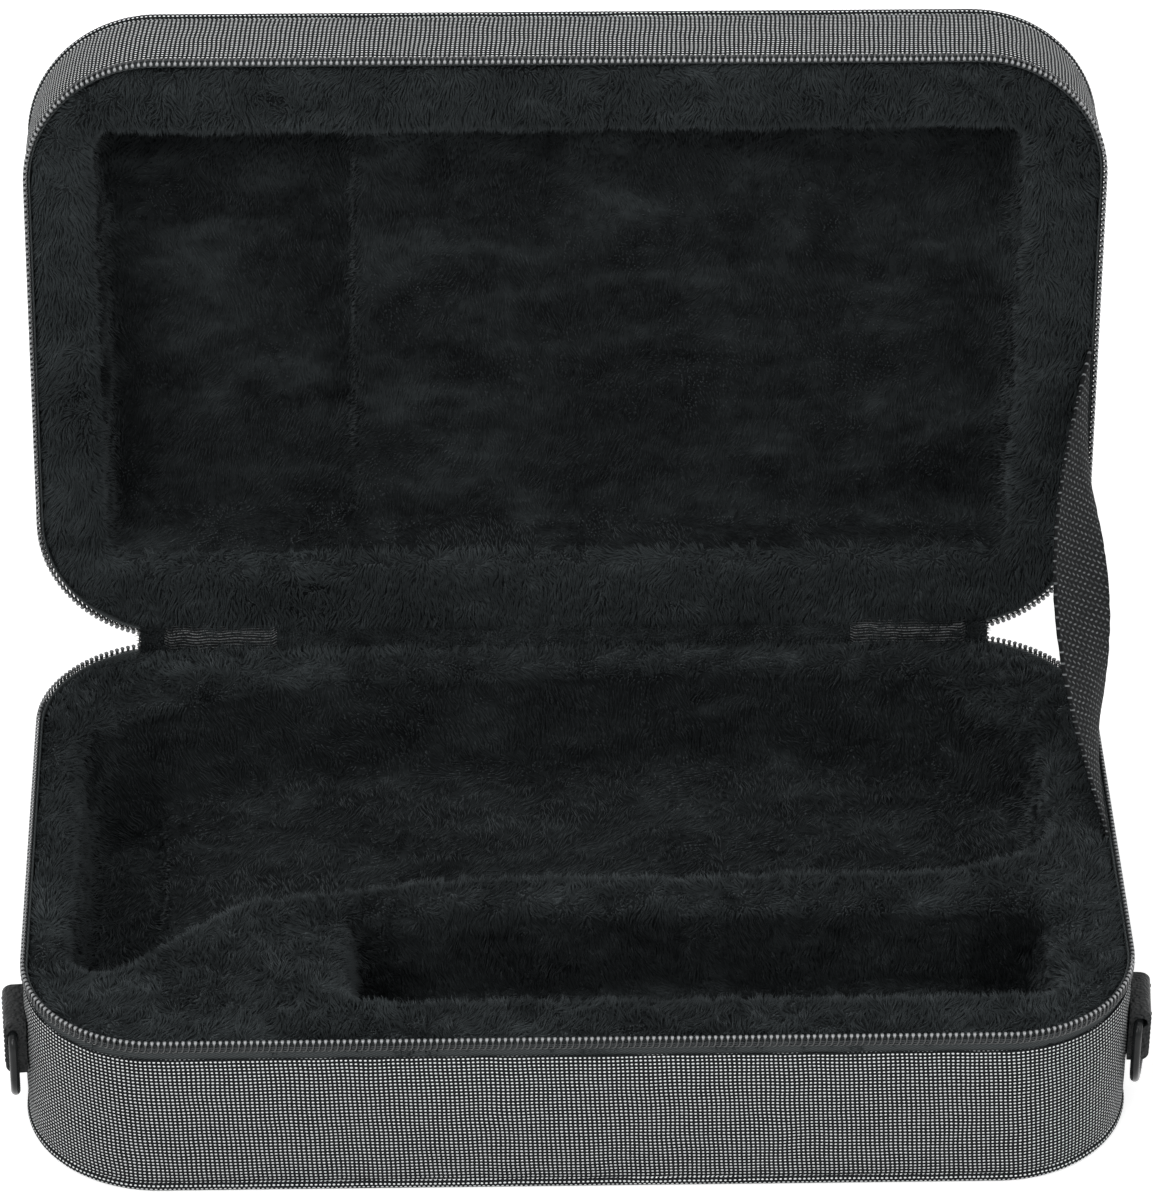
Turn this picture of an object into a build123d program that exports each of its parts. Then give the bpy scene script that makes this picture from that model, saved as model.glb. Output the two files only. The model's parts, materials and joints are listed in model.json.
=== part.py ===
from build123d import *
import os
from math import cos, radians, sin, sqrt

# Soft instrument case: two foam shells with a plush lining and a fabric cover,
# hinged along the back and closed by a zip that runs round the other three sides.
# Millimetres. X to the right, Y to the back, Z up; the origin is the middle of the underside.

# Overall sizes
CASE_LENGTH = 460
CASE_DEPTH = 278
CORNER_RADIUS = 57
BASE_HEIGHT = 80
LID_HEIGHT = 52
OPEN_ANGLE = 96

# Layers of the wall, from the outside in
FABRIC_INSET = 1.0
FABRIC = 1.2
TAPE = 0.8
LINING = 3.0
RIM_GAP = 1.5
PIPING_RADIUS = 2.5
CLEARANCE = 0.2

# Zip, measured away from the plane where the two halves meet
ZIP_START = 0.3
COIL_HEIGHT = 6.2
COIL_PROUD = 0.4
HEM = 9.5
TAPE_HEIGHT = 18
HINGE_PAST_CORNER = 14
SPINE_LEG = 12

# Pockets in the base: corner points, corner radii and the height of each floor
INSTRUMENT_POINTS = [
    (-210, -84), (-188, -84), (-142, -42), (-50, -25.5), (160, -25.5), (203, -4),
    (203, 74), (160, 118), (60, 124), (-130, 116), (-210, 84),
]
INSTRUMENT_RADII = [8, 8, 30, 80, 40, 28, 28, 28, 60, 40, 30]
INSTRUMENT_FLOOR = 22
END_POCKET_RIGHT = -172
END_POCKET_FLOOR = 7
ACCESSORY_LEFT = -95
ACCESSORY_RIGHT = 197
ACCESSORY_FRONT = -107
ACCESSORY_BACK = -47
ACCESSORY_FLOOR = 30
POCKET_RADIUS = 8

# Recess in the lid: its left part is deeper, the rest is raised on a pad
RECESS_LEFT = -196
RECESS_RIGHT = 195
RECESS_FRONT = -104
RECESS_BACK = 101
RECESS_RADIUS = 12
RECESS_STEP = -88
DEEP_RECESS = 45
PAD_RECESS = 30

# Bands over the hinge, inside
BAND_WIDTH = 51
BAND_CENTRE = 151
BAND_THICKNESS = 1.2
BAND_LEG = 10
BAND_GAP = 0.1
BAND_START = 8

# Stay strap on the right: where its two ends enter the rims
STRAP_THICKNESS = 1.6
STRAP_TUCK = 14
STRAP_BASE_FRONT = 147
STRAP_BASE_BACK = 82
STRAP_LID_FAR = 140
STRAP_LID_NEAR = 83
STRAP_SAG_IN = 13
STRAP_SAG_OUT = 5

# Ring tabs on the ends, just past where the front corners start to turn
TAB_TURN = 4.6
TAB_WIDTH = 25
TAB_BOTTOM = 32
TAB_TOP = 59
TAB_PROUD = 9
RING_TOP_RADIUS = 4.5
RING_WIRE_RADIUS = 2
RING_CLEARANCE = 0.1
RING_BAR_OUT = 5.0
RING_BAR_BELOW_TOP = 7
RING_INNER_WIDTH = 30
RING_DROP = 34

# Closed ends of the zip behind the hinge, with a slider and a pull on each
TAIL_OUT = 8
TAIL_LENGTH = 30.5
TAIL_SHORT = 6.5
TAIL_SEAT = 0.85
COIL_THICKNESS = 2.6
COIL_MARGIN = 0.35
SLIDER_LENGTH = 12
SLIDER_MARGIN = 1.6
SLIDER_PLATE = 1.2
FLANGE = 0.8
FLANGE_SHORT = 2
SLIDER_GAP = 0.4
SLIDER_WEDGE = 3.2
SLIDER_LIP = 0.8
PIN_RADIUS = 0.7
PIN_CLEARANCE = 0.08
PIN_RISE = 1.7
EAR_THICKNESS = 1.0
EAR_WIDTH = 3.4
EAR_ROOF = 0.5
PULL_BARREL = 1.5
PULL_THICKNESS = 1.2
PULL_WIDTH = 5.6
PULL_LENGTH = 24
PULL_EYE = 1.3

os.makedirs("parts", exist_ok=True)


def save(part, name):
    part.label = name
    export_step(part, f"parts/{name}.step")


# Planes of the two rims. Both look outward from the rim, with the hinge on their +Y side
HINGE_Y = CASE_DEPTH / 2
OPEN_Y = sin(radians(OPEN_ANGLE))
OPEN_Z = cos(radians(OPEN_ANGLE))
BASE_RIM = Plane(origin=(0, 0, BASE_HEIGHT), x_dir=(-1, 0, 0), z_dir=(0, 0, -1))
LID_RIM = Plane(
    origin=(0, HINGE_Y - OPEN_Z * HINGE_Y, BASE_HEIGHT + OPEN_Y * HINGE_Y),
    x_dir=(1, 0, 0),
    z_dir=(0, OPEN_Y, OPEN_Z),
)
HALVES = [("base", BASE_RIM, BASE_HEIGHT), ("lid", LID_RIM, LID_HEIGHT)]

HINGE_WIDTH = CASE_LENGTH - 2 * (CORNER_RADIUS - HINGE_PAST_CORNER)
TAPE_INSET = FABRIC_INSET + FABRIC
LINING_INSET = TAPE_INSET + TAPE
LINING_END = RIM_GAP + LINING
PANEL_INSET = PIPING_RADIUS + sqrt(PIPING_RADIUS**2 - (PIPING_RADIUS - FABRIC) ** 2) + 0.05
FOAM_CHAMFER = (2 + sqrt(2)) * PIPING_RADIUS - TAPE_INSET - FABRIC + 2 * CLEARANCE


def outline(inset, mode=Mode.ADD):
    """The case's plan shape, drawn inset from its largest outline."""
    RectangleRounded(
        CASE_LENGTH - 2 * inset, CASE_DEPTH - 2 * inset, CORNER_RADIUS - inset, mode=mode
    )


def hinge_gap(mode=Mode.SUBTRACT):
    """The stretch of the back edge that belongs to the hinge."""
    with Locations((0, CASE_DEPTH / 2)):
        Rectangle(HINGE_WIDTH, CORNER_RADIUS / 2, mode=mode)


def instrument_pocket(grow):
    """Plan shape of the large pocket, with its walls moved out by grow."""
    with BuildLine() as wall_line:
        FilletPolyline(*INSTRUMENT_POINTS, radius=INSTRUMENT_RADII, close=True)
    make_face(wall_line.edges())
    if grow:
        offset(amount=grow, mode=Mode.REPLACE)


def end_pocket(grow):
    """Plan shape of the deeper part of the large pocket, at its left end."""
    instrument_pocket(grow)
    with Locations((END_POCKET_RIGHT + grow, 0)):
        Rectangle(CASE_LENGTH, CASE_DEPTH, align=(Align.MAX, Align.CENTER), mode=Mode.INTERSECT)


def accessory_pocket(grow):
    """Plan shape of the small pocket along the front."""
    centre = ((ACCESSORY_LEFT + ACCESSORY_RIGHT) / 2, (ACCESSORY_FRONT + ACCESSORY_BACK) / 2)
    with Locations(centre):
        RectangleRounded(
            ACCESSORY_RIGHT - ACCESSORY_LEFT + 2 * grow,
            ACCESSORY_BACK - ACCESSORY_FRONT + 2 * grow,
            POCKET_RADIUS + grow,
        )


POCKETS = [
    (instrument_pocket, INSTRUMENT_FLOOR),
    (end_pocket, END_POCKET_FLOOR),
    (accessory_pocket, ACCESSORY_FLOOR),
]


def recess(grow):
    """Plan shape of the recess in the lid."""
    with Locations(((RECESS_LEFT + RECESS_RIGHT) / 2, (RECESS_FRONT + RECESS_BACK) / 2)):
        RectangleRounded(
            RECESS_RIGHT - RECESS_LEFT + 2 * grow,
            RECESS_BACK - RECESS_FRONT + 2 * grow,
            RECESS_RADIUS + grow,
        )


def deep_recess(grow):
    """Plan shape of the deeper left part of the recess."""
    recess(grow)
    with Locations((RECESS_STEP + grow, 0)):
        Rectangle(CASE_LENGTH, CASE_DEPTH, align=(Align.MAX, Align.CENTER), mode=Mode.INTERSECT)


# Covers, piping and zip, alike on both halves
for half, rim, height in HALVES:
    with BuildPart() as side_skin:
        with BuildSketch(rim.offset(HEM)):
            outline(FABRIC_INSET)
            outline(TAPE_INSET, mode=Mode.SUBTRACT)
        extrude(amount=height - HEM - 2 * PIPING_RADIUS)
        with BuildSketch(rim.offset(HEM)):
            hinge_gap(mode=Mode.ADD)
        extrude(amount=SPINE_LEG + CLEARANCE - HEM, mode=Mode.SUBTRACT)
    save(side_skin.part, f"{half}_side_skin")

    with BuildPart() as outer_skin:
        with BuildSketch(rim.offset(height)):
            outline(PANEL_INSET)
        extrude(amount=-FABRIC)
    save(outer_skin.part, "base_bottom_skin" if half == "base" else "lid_top_skin")

    seam_x = CASE_LENGTH / 2 - PIPING_RADIUS
    seam_y = CASE_DEPTH / 2 - PIPING_RADIUS
    with BuildPart() as piping:
        with BuildLine(rim.offset(height - PIPING_RADIUS)) as seam:
            FilletPolyline(
                (-seam_x, -seam_y),
                (seam_x, -seam_y),
                (seam_x, seam_y),
                (-seam_x, seam_y),
                radius=CORNER_RADIUS - PIPING_RADIUS,
                close=True,
            )
        with BuildSketch(Plane(seam.line @ 0, z_dir=seam.line % 0)):
            Circle(PIPING_RADIUS)
        sweep(path=seam.line)
    save(piping.part, f"{half}_piping")

    with BuildPart() as zip_tape:
        with BuildSketch(rim.offset(ZIP_START + RIM_GAP / 2)):
            outline(TAPE_INSET)
            outline(LINING_INSET, mode=Mode.SUBTRACT)
            hinge_gap()
        extrude(amount=TAPE_HEIGHT - ZIP_START - RIM_GAP / 2)
    save(zip_tape.part, f"{half}_zip_tape")

    with BuildPart() as zip_teeth:
        with BuildSketch(rim.offset(ZIP_START)):
            outline(-COIL_PROUD)
            outline(TAPE_INSET, mode=Mode.SUBTRACT)
            hinge_gap()
        extrude(amount=COIL_HEIGHT)
    save(zip_teeth.part, f"{half}_zip_teeth")


def foam_block(rim, height):
    """Foam shell before its pockets are cut, with a rebate for the zip tape."""
    with BuildSketch(rim.offset(LINING_END)) as plan:
        outline(TAPE_INSET)
    extrude(plan.sketch, amount=height - LINING_END - FABRIC)
    outer_face = faces().sort_by(Axis(rim.origin, rim.z_dir))[-1]
    chamfer(outer_face.edges(), length=FOAM_CHAMFER)
    with BuildSketch(rim.offset(LINING_END)) as rebate:
        outline(TAPE_INSET)
        outline(LINING_INSET, mode=Mode.SUBTRACT)
    extrude(rebate.sketch, amount=TAPE_HEIGHT - LINING_END, mode=Mode.SUBTRACT)


STRAP_X = CASE_LENGTH / 2 - LINING_INSET - CLEARANCE - STRAP_THICKNESS / 2


def strap_slot(rim, near, far):
    """Slot beside the right wall that takes the tucked end of the stay strap."""
    side = rim.x_dir.X
    width = STRAP_THICKNESS + 3 * CLEARANCE
    with BuildSketch(rim) as slit:
        with Locations((side * (STRAP_X + CLEARANCE / 2), HINGE_Y - (near + far) / 2)):
            Rectangle(width, far - near + 2 * CLEARANCE)
    extrude(slit.sketch, amount=STRAP_TUCK + CLEARANCE, mode=Mode.SUBTRACT)


# Base: foam shell and plush lining
with BuildPart() as base_foam:
    foam_block(BASE_RIM, BASE_HEIGHT)
    for pocket, floor in POCKETS:
        with BuildSketch(Plane.XY.offset(floor - LINING)):
            pocket(LINING)
        extrude(amount=BASE_HEIGHT, mode=Mode.SUBTRACT)
    strap_slot(BASE_RIM, STRAP_BASE_BACK, STRAP_BASE_FRONT)
save(base_foam.part, "base_foam")

LINING_TOP = BASE_HEIGHT - RIM_GAP
with BuildPart() as base_lining:
    with BuildSketch(Plane.XY.offset(LINING_TOP)):
        outline(LINING_INSET)
    extrude(amount=-LINING)
    for pocket, floor in POCKETS:
        with BuildSketch(Plane.XY.offset(floor - LINING)):
            pocket(LINING)
        extrude(amount=LINING_TOP - floor + LINING)
    for pocket, floor in POCKETS:
        with BuildSketch(Plane.XY.offset(floor)):
            pocket(0)
        extrude(amount=BASE_HEIGHT, mode=Mode.SUBTRACT)
    strap_slot(BASE_RIM, STRAP_BASE_BACK, STRAP_BASE_FRONT)
save(base_lining.part, "base_lining")

# Lid: foam shell, the pad in its recess, and the plush lining over both
with BuildPart() as lid_foam:
    foam_block(LID_RIM, LID_HEIGHT)
    with BuildSketch(LID_RIM):
        recess(LINING)
    extrude(amount=DEEP_RECESS + LINING, mode=Mode.SUBTRACT)
    strap_slot(LID_RIM, STRAP_LID_NEAR, STRAP_LID_FAR)
save(lid_foam.part, "lid_foam")

with BuildPart() as lid_pad:
    with BuildSketch(LID_RIM.offset(PAD_RECESS + LINING)):
        recess(LINING)
        with Locations((RECESS_STEP + LINING, 0)):
            Rectangle(CASE_LENGTH, CASE_DEPTH, align=(Align.MAX, Align.CENTER), mode=Mode.SUBTRACT)
    extrude(amount=DEEP_RECESS - PAD_RECESS)
save(lid_pad.part, "lid_pad")

LID_CUTS = [(recess, PAD_RECESS), (deep_recess, DEEP_RECESS)]
with BuildPart() as lid_lining:
    with BuildSketch(LID_RIM.offset(RIM_GAP)):
        outline(LINING_INSET)
    extrude(amount=LINING)
    for shape, depth in LID_CUTS:
        with BuildSketch(LID_RIM.offset(RIM_GAP)):
            shape(LINING)
        extrude(amount=depth + LINING - RIM_GAP)
    for shape, depth in LID_CUTS:
        with BuildSketch(LID_RIM):
            shape(0)
        extrude(amount=depth, mode=Mode.SUBTRACT)
    strap_slot(LID_RIM, STRAP_LID_NEAR, STRAP_LID_FAR)
save(lid_lining.part, "lid_lining")


def hinge_point(across, out):
    """Point in the section through the hinge, for a place on the lid at rest.

    across is the distance from the hinge along the lid, out is towards its outer panel.
    """
    y = -OPEN_Z * across + OPEN_Y * out
    z = OPEN_Y * across + OPEN_Z * out
    return (HINGE_Y + y, BASE_HEIGHT + z)


def outside_corner(inset):
    """Where the base's back wall and the lid's back wall meet, both inset."""
    return (HINGE_Y - inset, BASE_HEIGHT + inset * (1 - OPEN_Z) / OPEN_Y)


# Fabric spine over the hinge, folded into the corner while the lid is open
with BuildPart() as hinge_spine:
    with BuildSketch(Plane.YZ.offset(-HINGE_WIDTH / 2)):
        with BuildLine():
            Polyline(
                (HINGE_Y - FABRIC_INSET, BASE_HEIGHT - SPINE_LEG),
                outside_corner(FABRIC_INSET),
                hinge_point(FABRIC_INSET, SPINE_LEG),
                hinge_point(TAPE_INSET, SPINE_LEG),
                outside_corner(TAPE_INSET),
                (HINGE_Y - TAPE_INSET, BASE_HEIGHT - SPINE_LEG),
                close=True,
            )
        make_face()
    extrude(amount=HINGE_WIDTH)
save(hinge_spine.part, "hinge_spine")

# Two ribbed bands that bridge the crease inside
for side, name in ((-1, "left"), (1, "right")):
    band_end = BAND_START + BAND_LEG
    inner = RIM_GAP - BAND_GAP
    outer = inner - BAND_THICKNESS
    low = BASE_HEIGHT - inner
    high = BASE_HEIGHT - outer
    with BuildPart() as band:
        with BuildSketch(Plane.YZ.offset(side * BAND_CENTRE - BAND_WIDTH / 2)):
            with BuildLine():
                Polyline(
                    (HINGE_Y - band_end, low),
                    (HINGE_Y - BAND_START, low),
                    hinge_point(BAND_START, inner),
                    hinge_point(band_end, inner),
                    hinge_point(band_end, outer),
                    hinge_point(BAND_START + BAND_THICKNESS / 2, outer),
                    (HINGE_Y - BAND_START - BAND_THICKNESS / 2, high),
                    (HINGE_Y - band_end, high),
                    close=True,
                )
            make_face()
        extrude(amount=BAND_WIDTH)
    save(band.part, f"hinge_band_{name}")

# Stay strap: webbing between the right rims, slack in the middle
strap_base_front = Vector(STRAP_X, HINGE_Y - STRAP_BASE_FRONT, BASE_HEIGHT)
strap_base_back = Vector(STRAP_X, HINGE_Y - STRAP_BASE_BACK, BASE_HEIGHT)
strap_lid_far = Vector(STRAP_X, *hinge_point(STRAP_LID_FAR, 0))
strap_lid_near = Vector(STRAP_X, *hinge_point(STRAP_LID_NEAR, 0))


def strap_section(along):
    """Plane across the strap and the strap's width there; along runs from 0 to 1."""
    bow = sin(radians(180 * along))
    front = strap_base_front * (1 - along) + strap_lid_far * along - Vector(STRAP_SAG_IN * bow)
    back = strap_base_back * (1 - along) + strap_lid_near * along + Vector(STRAP_SAG_OUT * bow)
    across = back - front
    turn = radians(90 - OPEN_ANGLE * along)
    run = Vector(0, cos(turn), sin(turn))
    run = run - across * (run.dot(across) / across.length**2)
    return Plane((front + back) / 2, x_dir=across, z_dir=run), across.length


STRAP_SECTIONS = 8
with BuildPart() as stay_strap:
    for step in range(STRAP_SECTIONS + 1):
        plane, width = strap_section(step / STRAP_SECTIONS)
        with BuildSketch(plane):
            Rectangle(width, STRAP_THICKNESS)
    loft(ruled=True)
    for end, way in ((0, -1), (1, 1)):
        plane, width = strap_section(end)
        with BuildSketch(plane):
            Rectangle(width, STRAP_THICKNESS)
        extrude(amount=way * STRAP_TUCK)
save(stay_strap.part, "stay_strap")


def tab_plane(side):
    """Plane at the wall, X outward, Y up and Z along the wall, on the turned front corner."""
    turn = radians(TAB_TURN)
    reach = CORNER_RADIUS - FABRIC_INSET
    wall = (
        side * (CASE_LENGTH / 2 - CORNER_RADIUS + reach * cos(turn)),
        CORNER_RADIUS - CASE_DEPTH / 2 - reach * sin(turn),
        0,
    )
    outward = (side * cos(turn), -sin(turn), 0)
    return Plane(origin=wall, x_dir=outward, z_dir=(side * sin(turn), cos(turn), 0))


# Carry rings: a padded tab on each end wall and a ring hanging in it
BAR_HEIGHT = TAB_TOP - RING_BAR_BELOW_TOP
BAR_OUT = RING_BAR_OUT + FABRIC_INSET / 2
RING_HALF = RING_INNER_WIDTH / 2 + RING_WIRE_RADIUS
for side, name in ((-1, "left"), (1, "right")):
    wall = tab_plane(side)
    up = wall.y_dir.Z
    with BuildPart() as tab:
        with BuildSketch(wall.offset(-TAB_WIDTH / 2)) as tab_section:
            with Locations((TAB_PROUD / 2, up * (TAB_TOP + TAB_BOTTOM) / 2)):
                Rectangle(TAB_PROUD, TAB_TOP - TAB_BOTTOM)
            fillet(vertices().group_by(Axis.X)[-1], radius=TAB_PROUD / 2 - CLEARANCE)
            with Locations((BAR_OUT, up * BAR_HEIGHT)):
                Circle(RING_WIRE_RADIUS + RING_CLEARANCE, mode=Mode.SUBTRACT)
        extrude(amount=TAB_WIDTH)
    save(tab.part, f"ring_tab_{name}")

    bar_centre = wall.from_local_coords((BAR_OUT, up * BAR_HEIGHT, 0))
    ring_plane = Plane(origin=bar_centre, x_dir=wall.z_dir, z_dir=wall.x_dir)
    down = -1 if ring_plane.y_dir.Z > 0 else 1
    with BuildPart() as ring:
        with BuildLine(ring_plane) as ring_line:
            FilletPolyline(
                (-RING_HALF, 0),
                (RING_HALF, 0),
                (RING_HALF, down * RING_DROP),
                (-RING_HALF, down * RING_DROP),
                radius=[RING_TOP_RADIUS, RING_TOP_RADIUS, RING_HALF - 1, RING_HALF - 1],
                close=True,
            )
        with BuildSketch(Plane(ring_line.line @ 0, z_dir=ring_line.line % 0)):
            Circle(RING_WIRE_RADIUS)
        sweep(path=ring_line.line)
    save(ring.part, f"ring_{name}")
    print(f"ring_{name} bar at", bar_centre, "along", wall.z_dir)

# Closed zip ends in the corner behind the hinge, on the line that halves the corner
corner_length = sqrt(OPEN_Y**2 + (OPEN_Z - 1) ** 2)
OUT_Y = OPEN_Y / corner_length
OUT_Z = (OPEN_Z - 1) / corner_length
TAIL = Plane(
    origin=(0, HINGE_Y + TAIL_OUT * OUT_Y, BASE_HEIGHT + TAIL_OUT * OUT_Z),
    x_dir=(1, 0, 0),
    z_dir=(0, OUT_Y, OUT_Z),
)
TAIL_OUTER = HINGE_WIDTH / 2 - TAIL_SHORT
TAIL_INNER = TAIL_OUTER - TAIL_LENGTH
TAIL_HALF_WIDTH = (TAIL_OUT * OUT_Y + FABRIC_INSET - TAIL_SEAT) / -OUT_Z
SLIDER_HALF_WIDTH = TAIL_HALF_WIDTH - SLIDER_MARGIN
COIL_HALF = SLIDER_HALF_WIDTH - FLANGE - COIL_MARGIN
COIL_TOP = TAPE / 2 + COIL_THICKNESS
PLATE_LOW = -TAPE / 2 - SLIDER_GAP
PLATE_HIGH = COIL_TOP + SLIDER_GAP
PIN_HEIGHT = PLATE_HIGH + SLIDER_PLATE + PIN_RISE
for side, name in ((-1, "left"), (1, "right")):
    with BuildPart() as tail:
        with BuildSketch(TAIL.offset(-TAPE / 2)):
            with Locations((side * (TAIL_INNER + TAIL_OUTER) / 2, 0)):
                Rectangle(TAIL_OUTER - TAIL_INNER, 2 * TAIL_HALF_WIDTH)
        extrude(amount=TAPE)
        with BuildSketch(TAIL.offset(TAPE / 2)):
            with Locations((side * (TAIL_INNER + TAIL_OUTER) / 2, 0)):
                Rectangle(TAIL_OUTER - TAIL_INNER, 2 * COIL_HALF)
        extrude(amount=COIL_THICKNESS)
    save(tail.part, f"zip_end_{name}")

    slider_outer = TAIL_OUTER + CLEARANCE + SLIDER_WEDGE + SLIDER_LIP
    slider_centre = side * (slider_outer - SLIDER_LENGTH / 2)
    wedge_centre = side * (TAIL_OUTER + CLEARANCE + SLIDER_WEDGE / 2)
    with BuildPart() as slider:
        for start, amount in ((PLATE_LOW, -SLIDER_PLATE), (PLATE_HIGH, SLIDER_PLATE)):
            with BuildSketch(TAIL.offset(start)):
                with Locations((slider_centre, 0)):
                    RectangleRounded(SLIDER_LENGTH, 2 * SLIDER_HALF_WIDTH, FLANGE_SHORT)
            extrude(amount=amount)
        # Side flanges of the outer plate, which guide the coil
        with BuildSketch(TAIL.offset(PLATE_HIGH)):
            for way in (-1, 1):
                with Locations((slider_centre, way * (SLIDER_HALF_WIDTH - FLANGE / 2))):
                    Rectangle(SLIDER_LENGTH - 2 * FLANGE_SHORT, FLANGE)
        extrude(amount=-(COIL_THICKNESS - SLIDER_GAP))
        # Wedge that parts the two rows
        with BuildSketch(TAIL.offset(PLATE_LOW)):
            with Locations((wedge_centre, 0)):
                RectangleRounded(SLIDER_WEDGE, 2 * SLIDER_WEDGE, SLIDER_WEDGE / 3)
        extrude(amount=PLATE_HIGH - PLATE_LOW)
        # Ears and pin for the pull
        for way in (-1, 1):
            with BuildSketch(TAIL.offset(PLATE_HIGH + SLIDER_PLATE)):
                with Locations((slider_centre, way * (PULL_WIDTH + EAR_THICKNESS + 2 * CLEARANCE) / 2)):
                    Rectangle(EAR_WIDTH, EAR_THICKNESS)
            extrude(amount=PIN_RISE + PIN_RADIUS + EAR_ROOF)
        ear_face = PULL_WIDTH / 2 + CLEARANCE + EAR_THICKNESS / 2
        pin_origin = TAIL.from_local_coords((slider_centre, -ear_face, PIN_HEIGHT))
        with BuildSketch(Plane(origin=pin_origin, x_dir=(1, 0, 0), z_dir=TAIL.y_dir)):
            Circle(PIN_RADIUS)
        extrude(amount=2 * ear_face)
    save(slider.part, f"zip_slider_{name}")

    pull_origin = TAIL.from_local_coords((slider_centre, -PULL_WIDTH / 2, PIN_HEIGHT))
    with BuildPart() as pull:
        with BuildSketch(Plane(origin=pull_origin, x_dir=(1, 0, 0), z_dir=TAIL.y_dir)) as pull_section:
            Circle(PULL_BARREL)
            with Locations((0, 0)):
                Rectangle(PULL_THICKNESS, PULL_LENGTH, align=(Align.CENTER, Align.MAX))
            Circle(PIN_RADIUS + PIN_CLEARANCE, mode=Mode.SUBTRACT)
        extrude(amount=PULL_WIDTH)
        # Rounded end with an eye for a cord
        eye = TAIL.from_local_coords((slider_centre, 0, PIN_HEIGHT + PULL_LENGTH - PULL_WIDTH / 2))
        with BuildSketch(Plane(origin=eye, x_dir=TAIL.y_dir, z_dir=(1, 0, 0))):
            Circle(PULL_EYE)
        extrude(amount=PULL_THICKNESS, both=True, mode=Mode.SUBTRACT)
    save(pull.part, f"zip_pull_{name}")
    print(f"zip_pull_{name} pin at", TAIL.from_local_coords((slider_centre, 0, PIN_HEIGHT)))
print("tail plane", TAIL)
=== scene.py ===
import json
from math import asin, cos, pi, radians, sin

import bmesh
import bpy
import numpy as np
from bpy.props import FloatProperty, FloatVectorProperty, IntProperty, PointerProperty
from mathutils import Matrix, Vector, noise


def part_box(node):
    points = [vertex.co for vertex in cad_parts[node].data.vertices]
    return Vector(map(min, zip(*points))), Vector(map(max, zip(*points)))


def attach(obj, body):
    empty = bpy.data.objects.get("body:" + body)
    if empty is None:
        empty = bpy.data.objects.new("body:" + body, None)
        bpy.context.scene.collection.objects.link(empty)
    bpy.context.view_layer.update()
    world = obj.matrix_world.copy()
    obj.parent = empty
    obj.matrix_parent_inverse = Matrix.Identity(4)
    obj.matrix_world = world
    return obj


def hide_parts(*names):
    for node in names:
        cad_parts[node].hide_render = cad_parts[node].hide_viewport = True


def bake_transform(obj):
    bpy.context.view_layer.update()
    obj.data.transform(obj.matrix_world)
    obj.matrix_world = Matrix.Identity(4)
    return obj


bl_info = {
    "name": "Soft Instrument Case",
    "version": (1, 0, 0),
    "blender": (4, 5, 0),
    "location": "View3D > Sidebar > Soft Case",
    "description": "Plush, covers, zip and webbing of a soft instrument case, round its CAD frame",
    "category": "Add Mesh",
}

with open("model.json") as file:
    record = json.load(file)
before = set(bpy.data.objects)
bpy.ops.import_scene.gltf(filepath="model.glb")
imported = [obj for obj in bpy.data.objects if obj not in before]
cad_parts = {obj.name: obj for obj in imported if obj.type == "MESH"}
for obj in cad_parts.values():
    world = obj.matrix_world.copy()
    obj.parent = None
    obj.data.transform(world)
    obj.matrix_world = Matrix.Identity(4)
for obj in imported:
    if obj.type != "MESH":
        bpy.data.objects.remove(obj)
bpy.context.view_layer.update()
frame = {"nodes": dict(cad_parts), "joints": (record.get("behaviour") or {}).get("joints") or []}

# Sizes in metres. Boxes and joints of the frame give what they hold
MM = 0.001
TAPE_INSET = 2.2 * MM
FABRIC_INSET = 1.0 * MM
FABRIC = 1.2 * MM
TAPE_LOW, TAPE_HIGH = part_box("base_zip_tape")
HALF_LENGTH = TAPE_HIGH.x + TAPE_INSET
HALF_DEPTH = TAPE_INSET - TAPE_LOW.y
PIPING_LOW, PIPING_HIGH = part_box("base_piping")
PIPING_RADIUS = (PIPING_HIGH.z - PIPING_LOW.z) / 2
HALF_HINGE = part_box("hinge_spine")[1].x
CORNER = 57 * MM
JOINTS = {joint["name"]: joint for joint in frame["joints"]}
OPEN_ANGLE = radians(max(JOINTS["lid_hinge"]["range_deg"]))
HINGE_Y, HINGE_Z = JOINTS["lid_hinge"]["pos_m"][1:]
OPEN_Y, OPEN_Z = sin(OPEN_ANGLE), cos(OPEN_ANGLE)
HALVES = ("base", "lid")
HEIGHT = {"base": 80 * MM, "lid": 52 * MM}
HEM = {"base": 10.6 * MM, "lid": 7.2 * MM}
SPINE_LEG = 12 * MM


# Places on the case


def place(half, plan, depth):
    """Row-frame points for plan places and depths behind the rim plane. The hinge is on +Y."""
    plan, depth = np.asarray(plan, float), np.asarray(depth, float)
    x, y = plan[..., 0], plan[..., 1]
    if half == "base":
        return np.stack([x, y, HEIGHT["base"] - depth + 0 * y], -1)
    along = HALF_DEPTH - y
    back = HINGE_Y - OPEN_Z * along + OPEN_Y * depth
    return np.stack([x, back, HINGE_Z + OPEN_Y * along + OPEN_Z * depth], -1)


def plan_of(half, points):
    """Plan places and depths behind the rim plane of row-frame points: the reverse of place()."""
    x, y, z = points.T
    if half == "base":
        return np.stack([x, y], -1), HEIGHT["base"] - z
    along = (z - HINGE_Z) * OPEN_Y - (y - HINGE_Y) * OPEN_Z
    depth = (y - HINGE_Y) * OPEN_Y + (z - HINGE_Z) * OPEN_Z
    return np.stack([x, HALF_DEPTH - along], -1), depth


def facing(half):
    """The direction that a rim looks at, out of the half."""
    return (0, 0, 1) if half == "base" else (0, -OPEN_Y, -OPEN_Z)


def running(line):
    """The length along a line of points, at each of them."""
    return np.concatenate([[0], np.cumsum(np.linalg.norm(np.diff(line, axis=0), axis=1))])


def unit(ways):
    """Directions of length 1."""
    return ways / np.linalg.norm(ways, axis=-1, keepdims=True)


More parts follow.
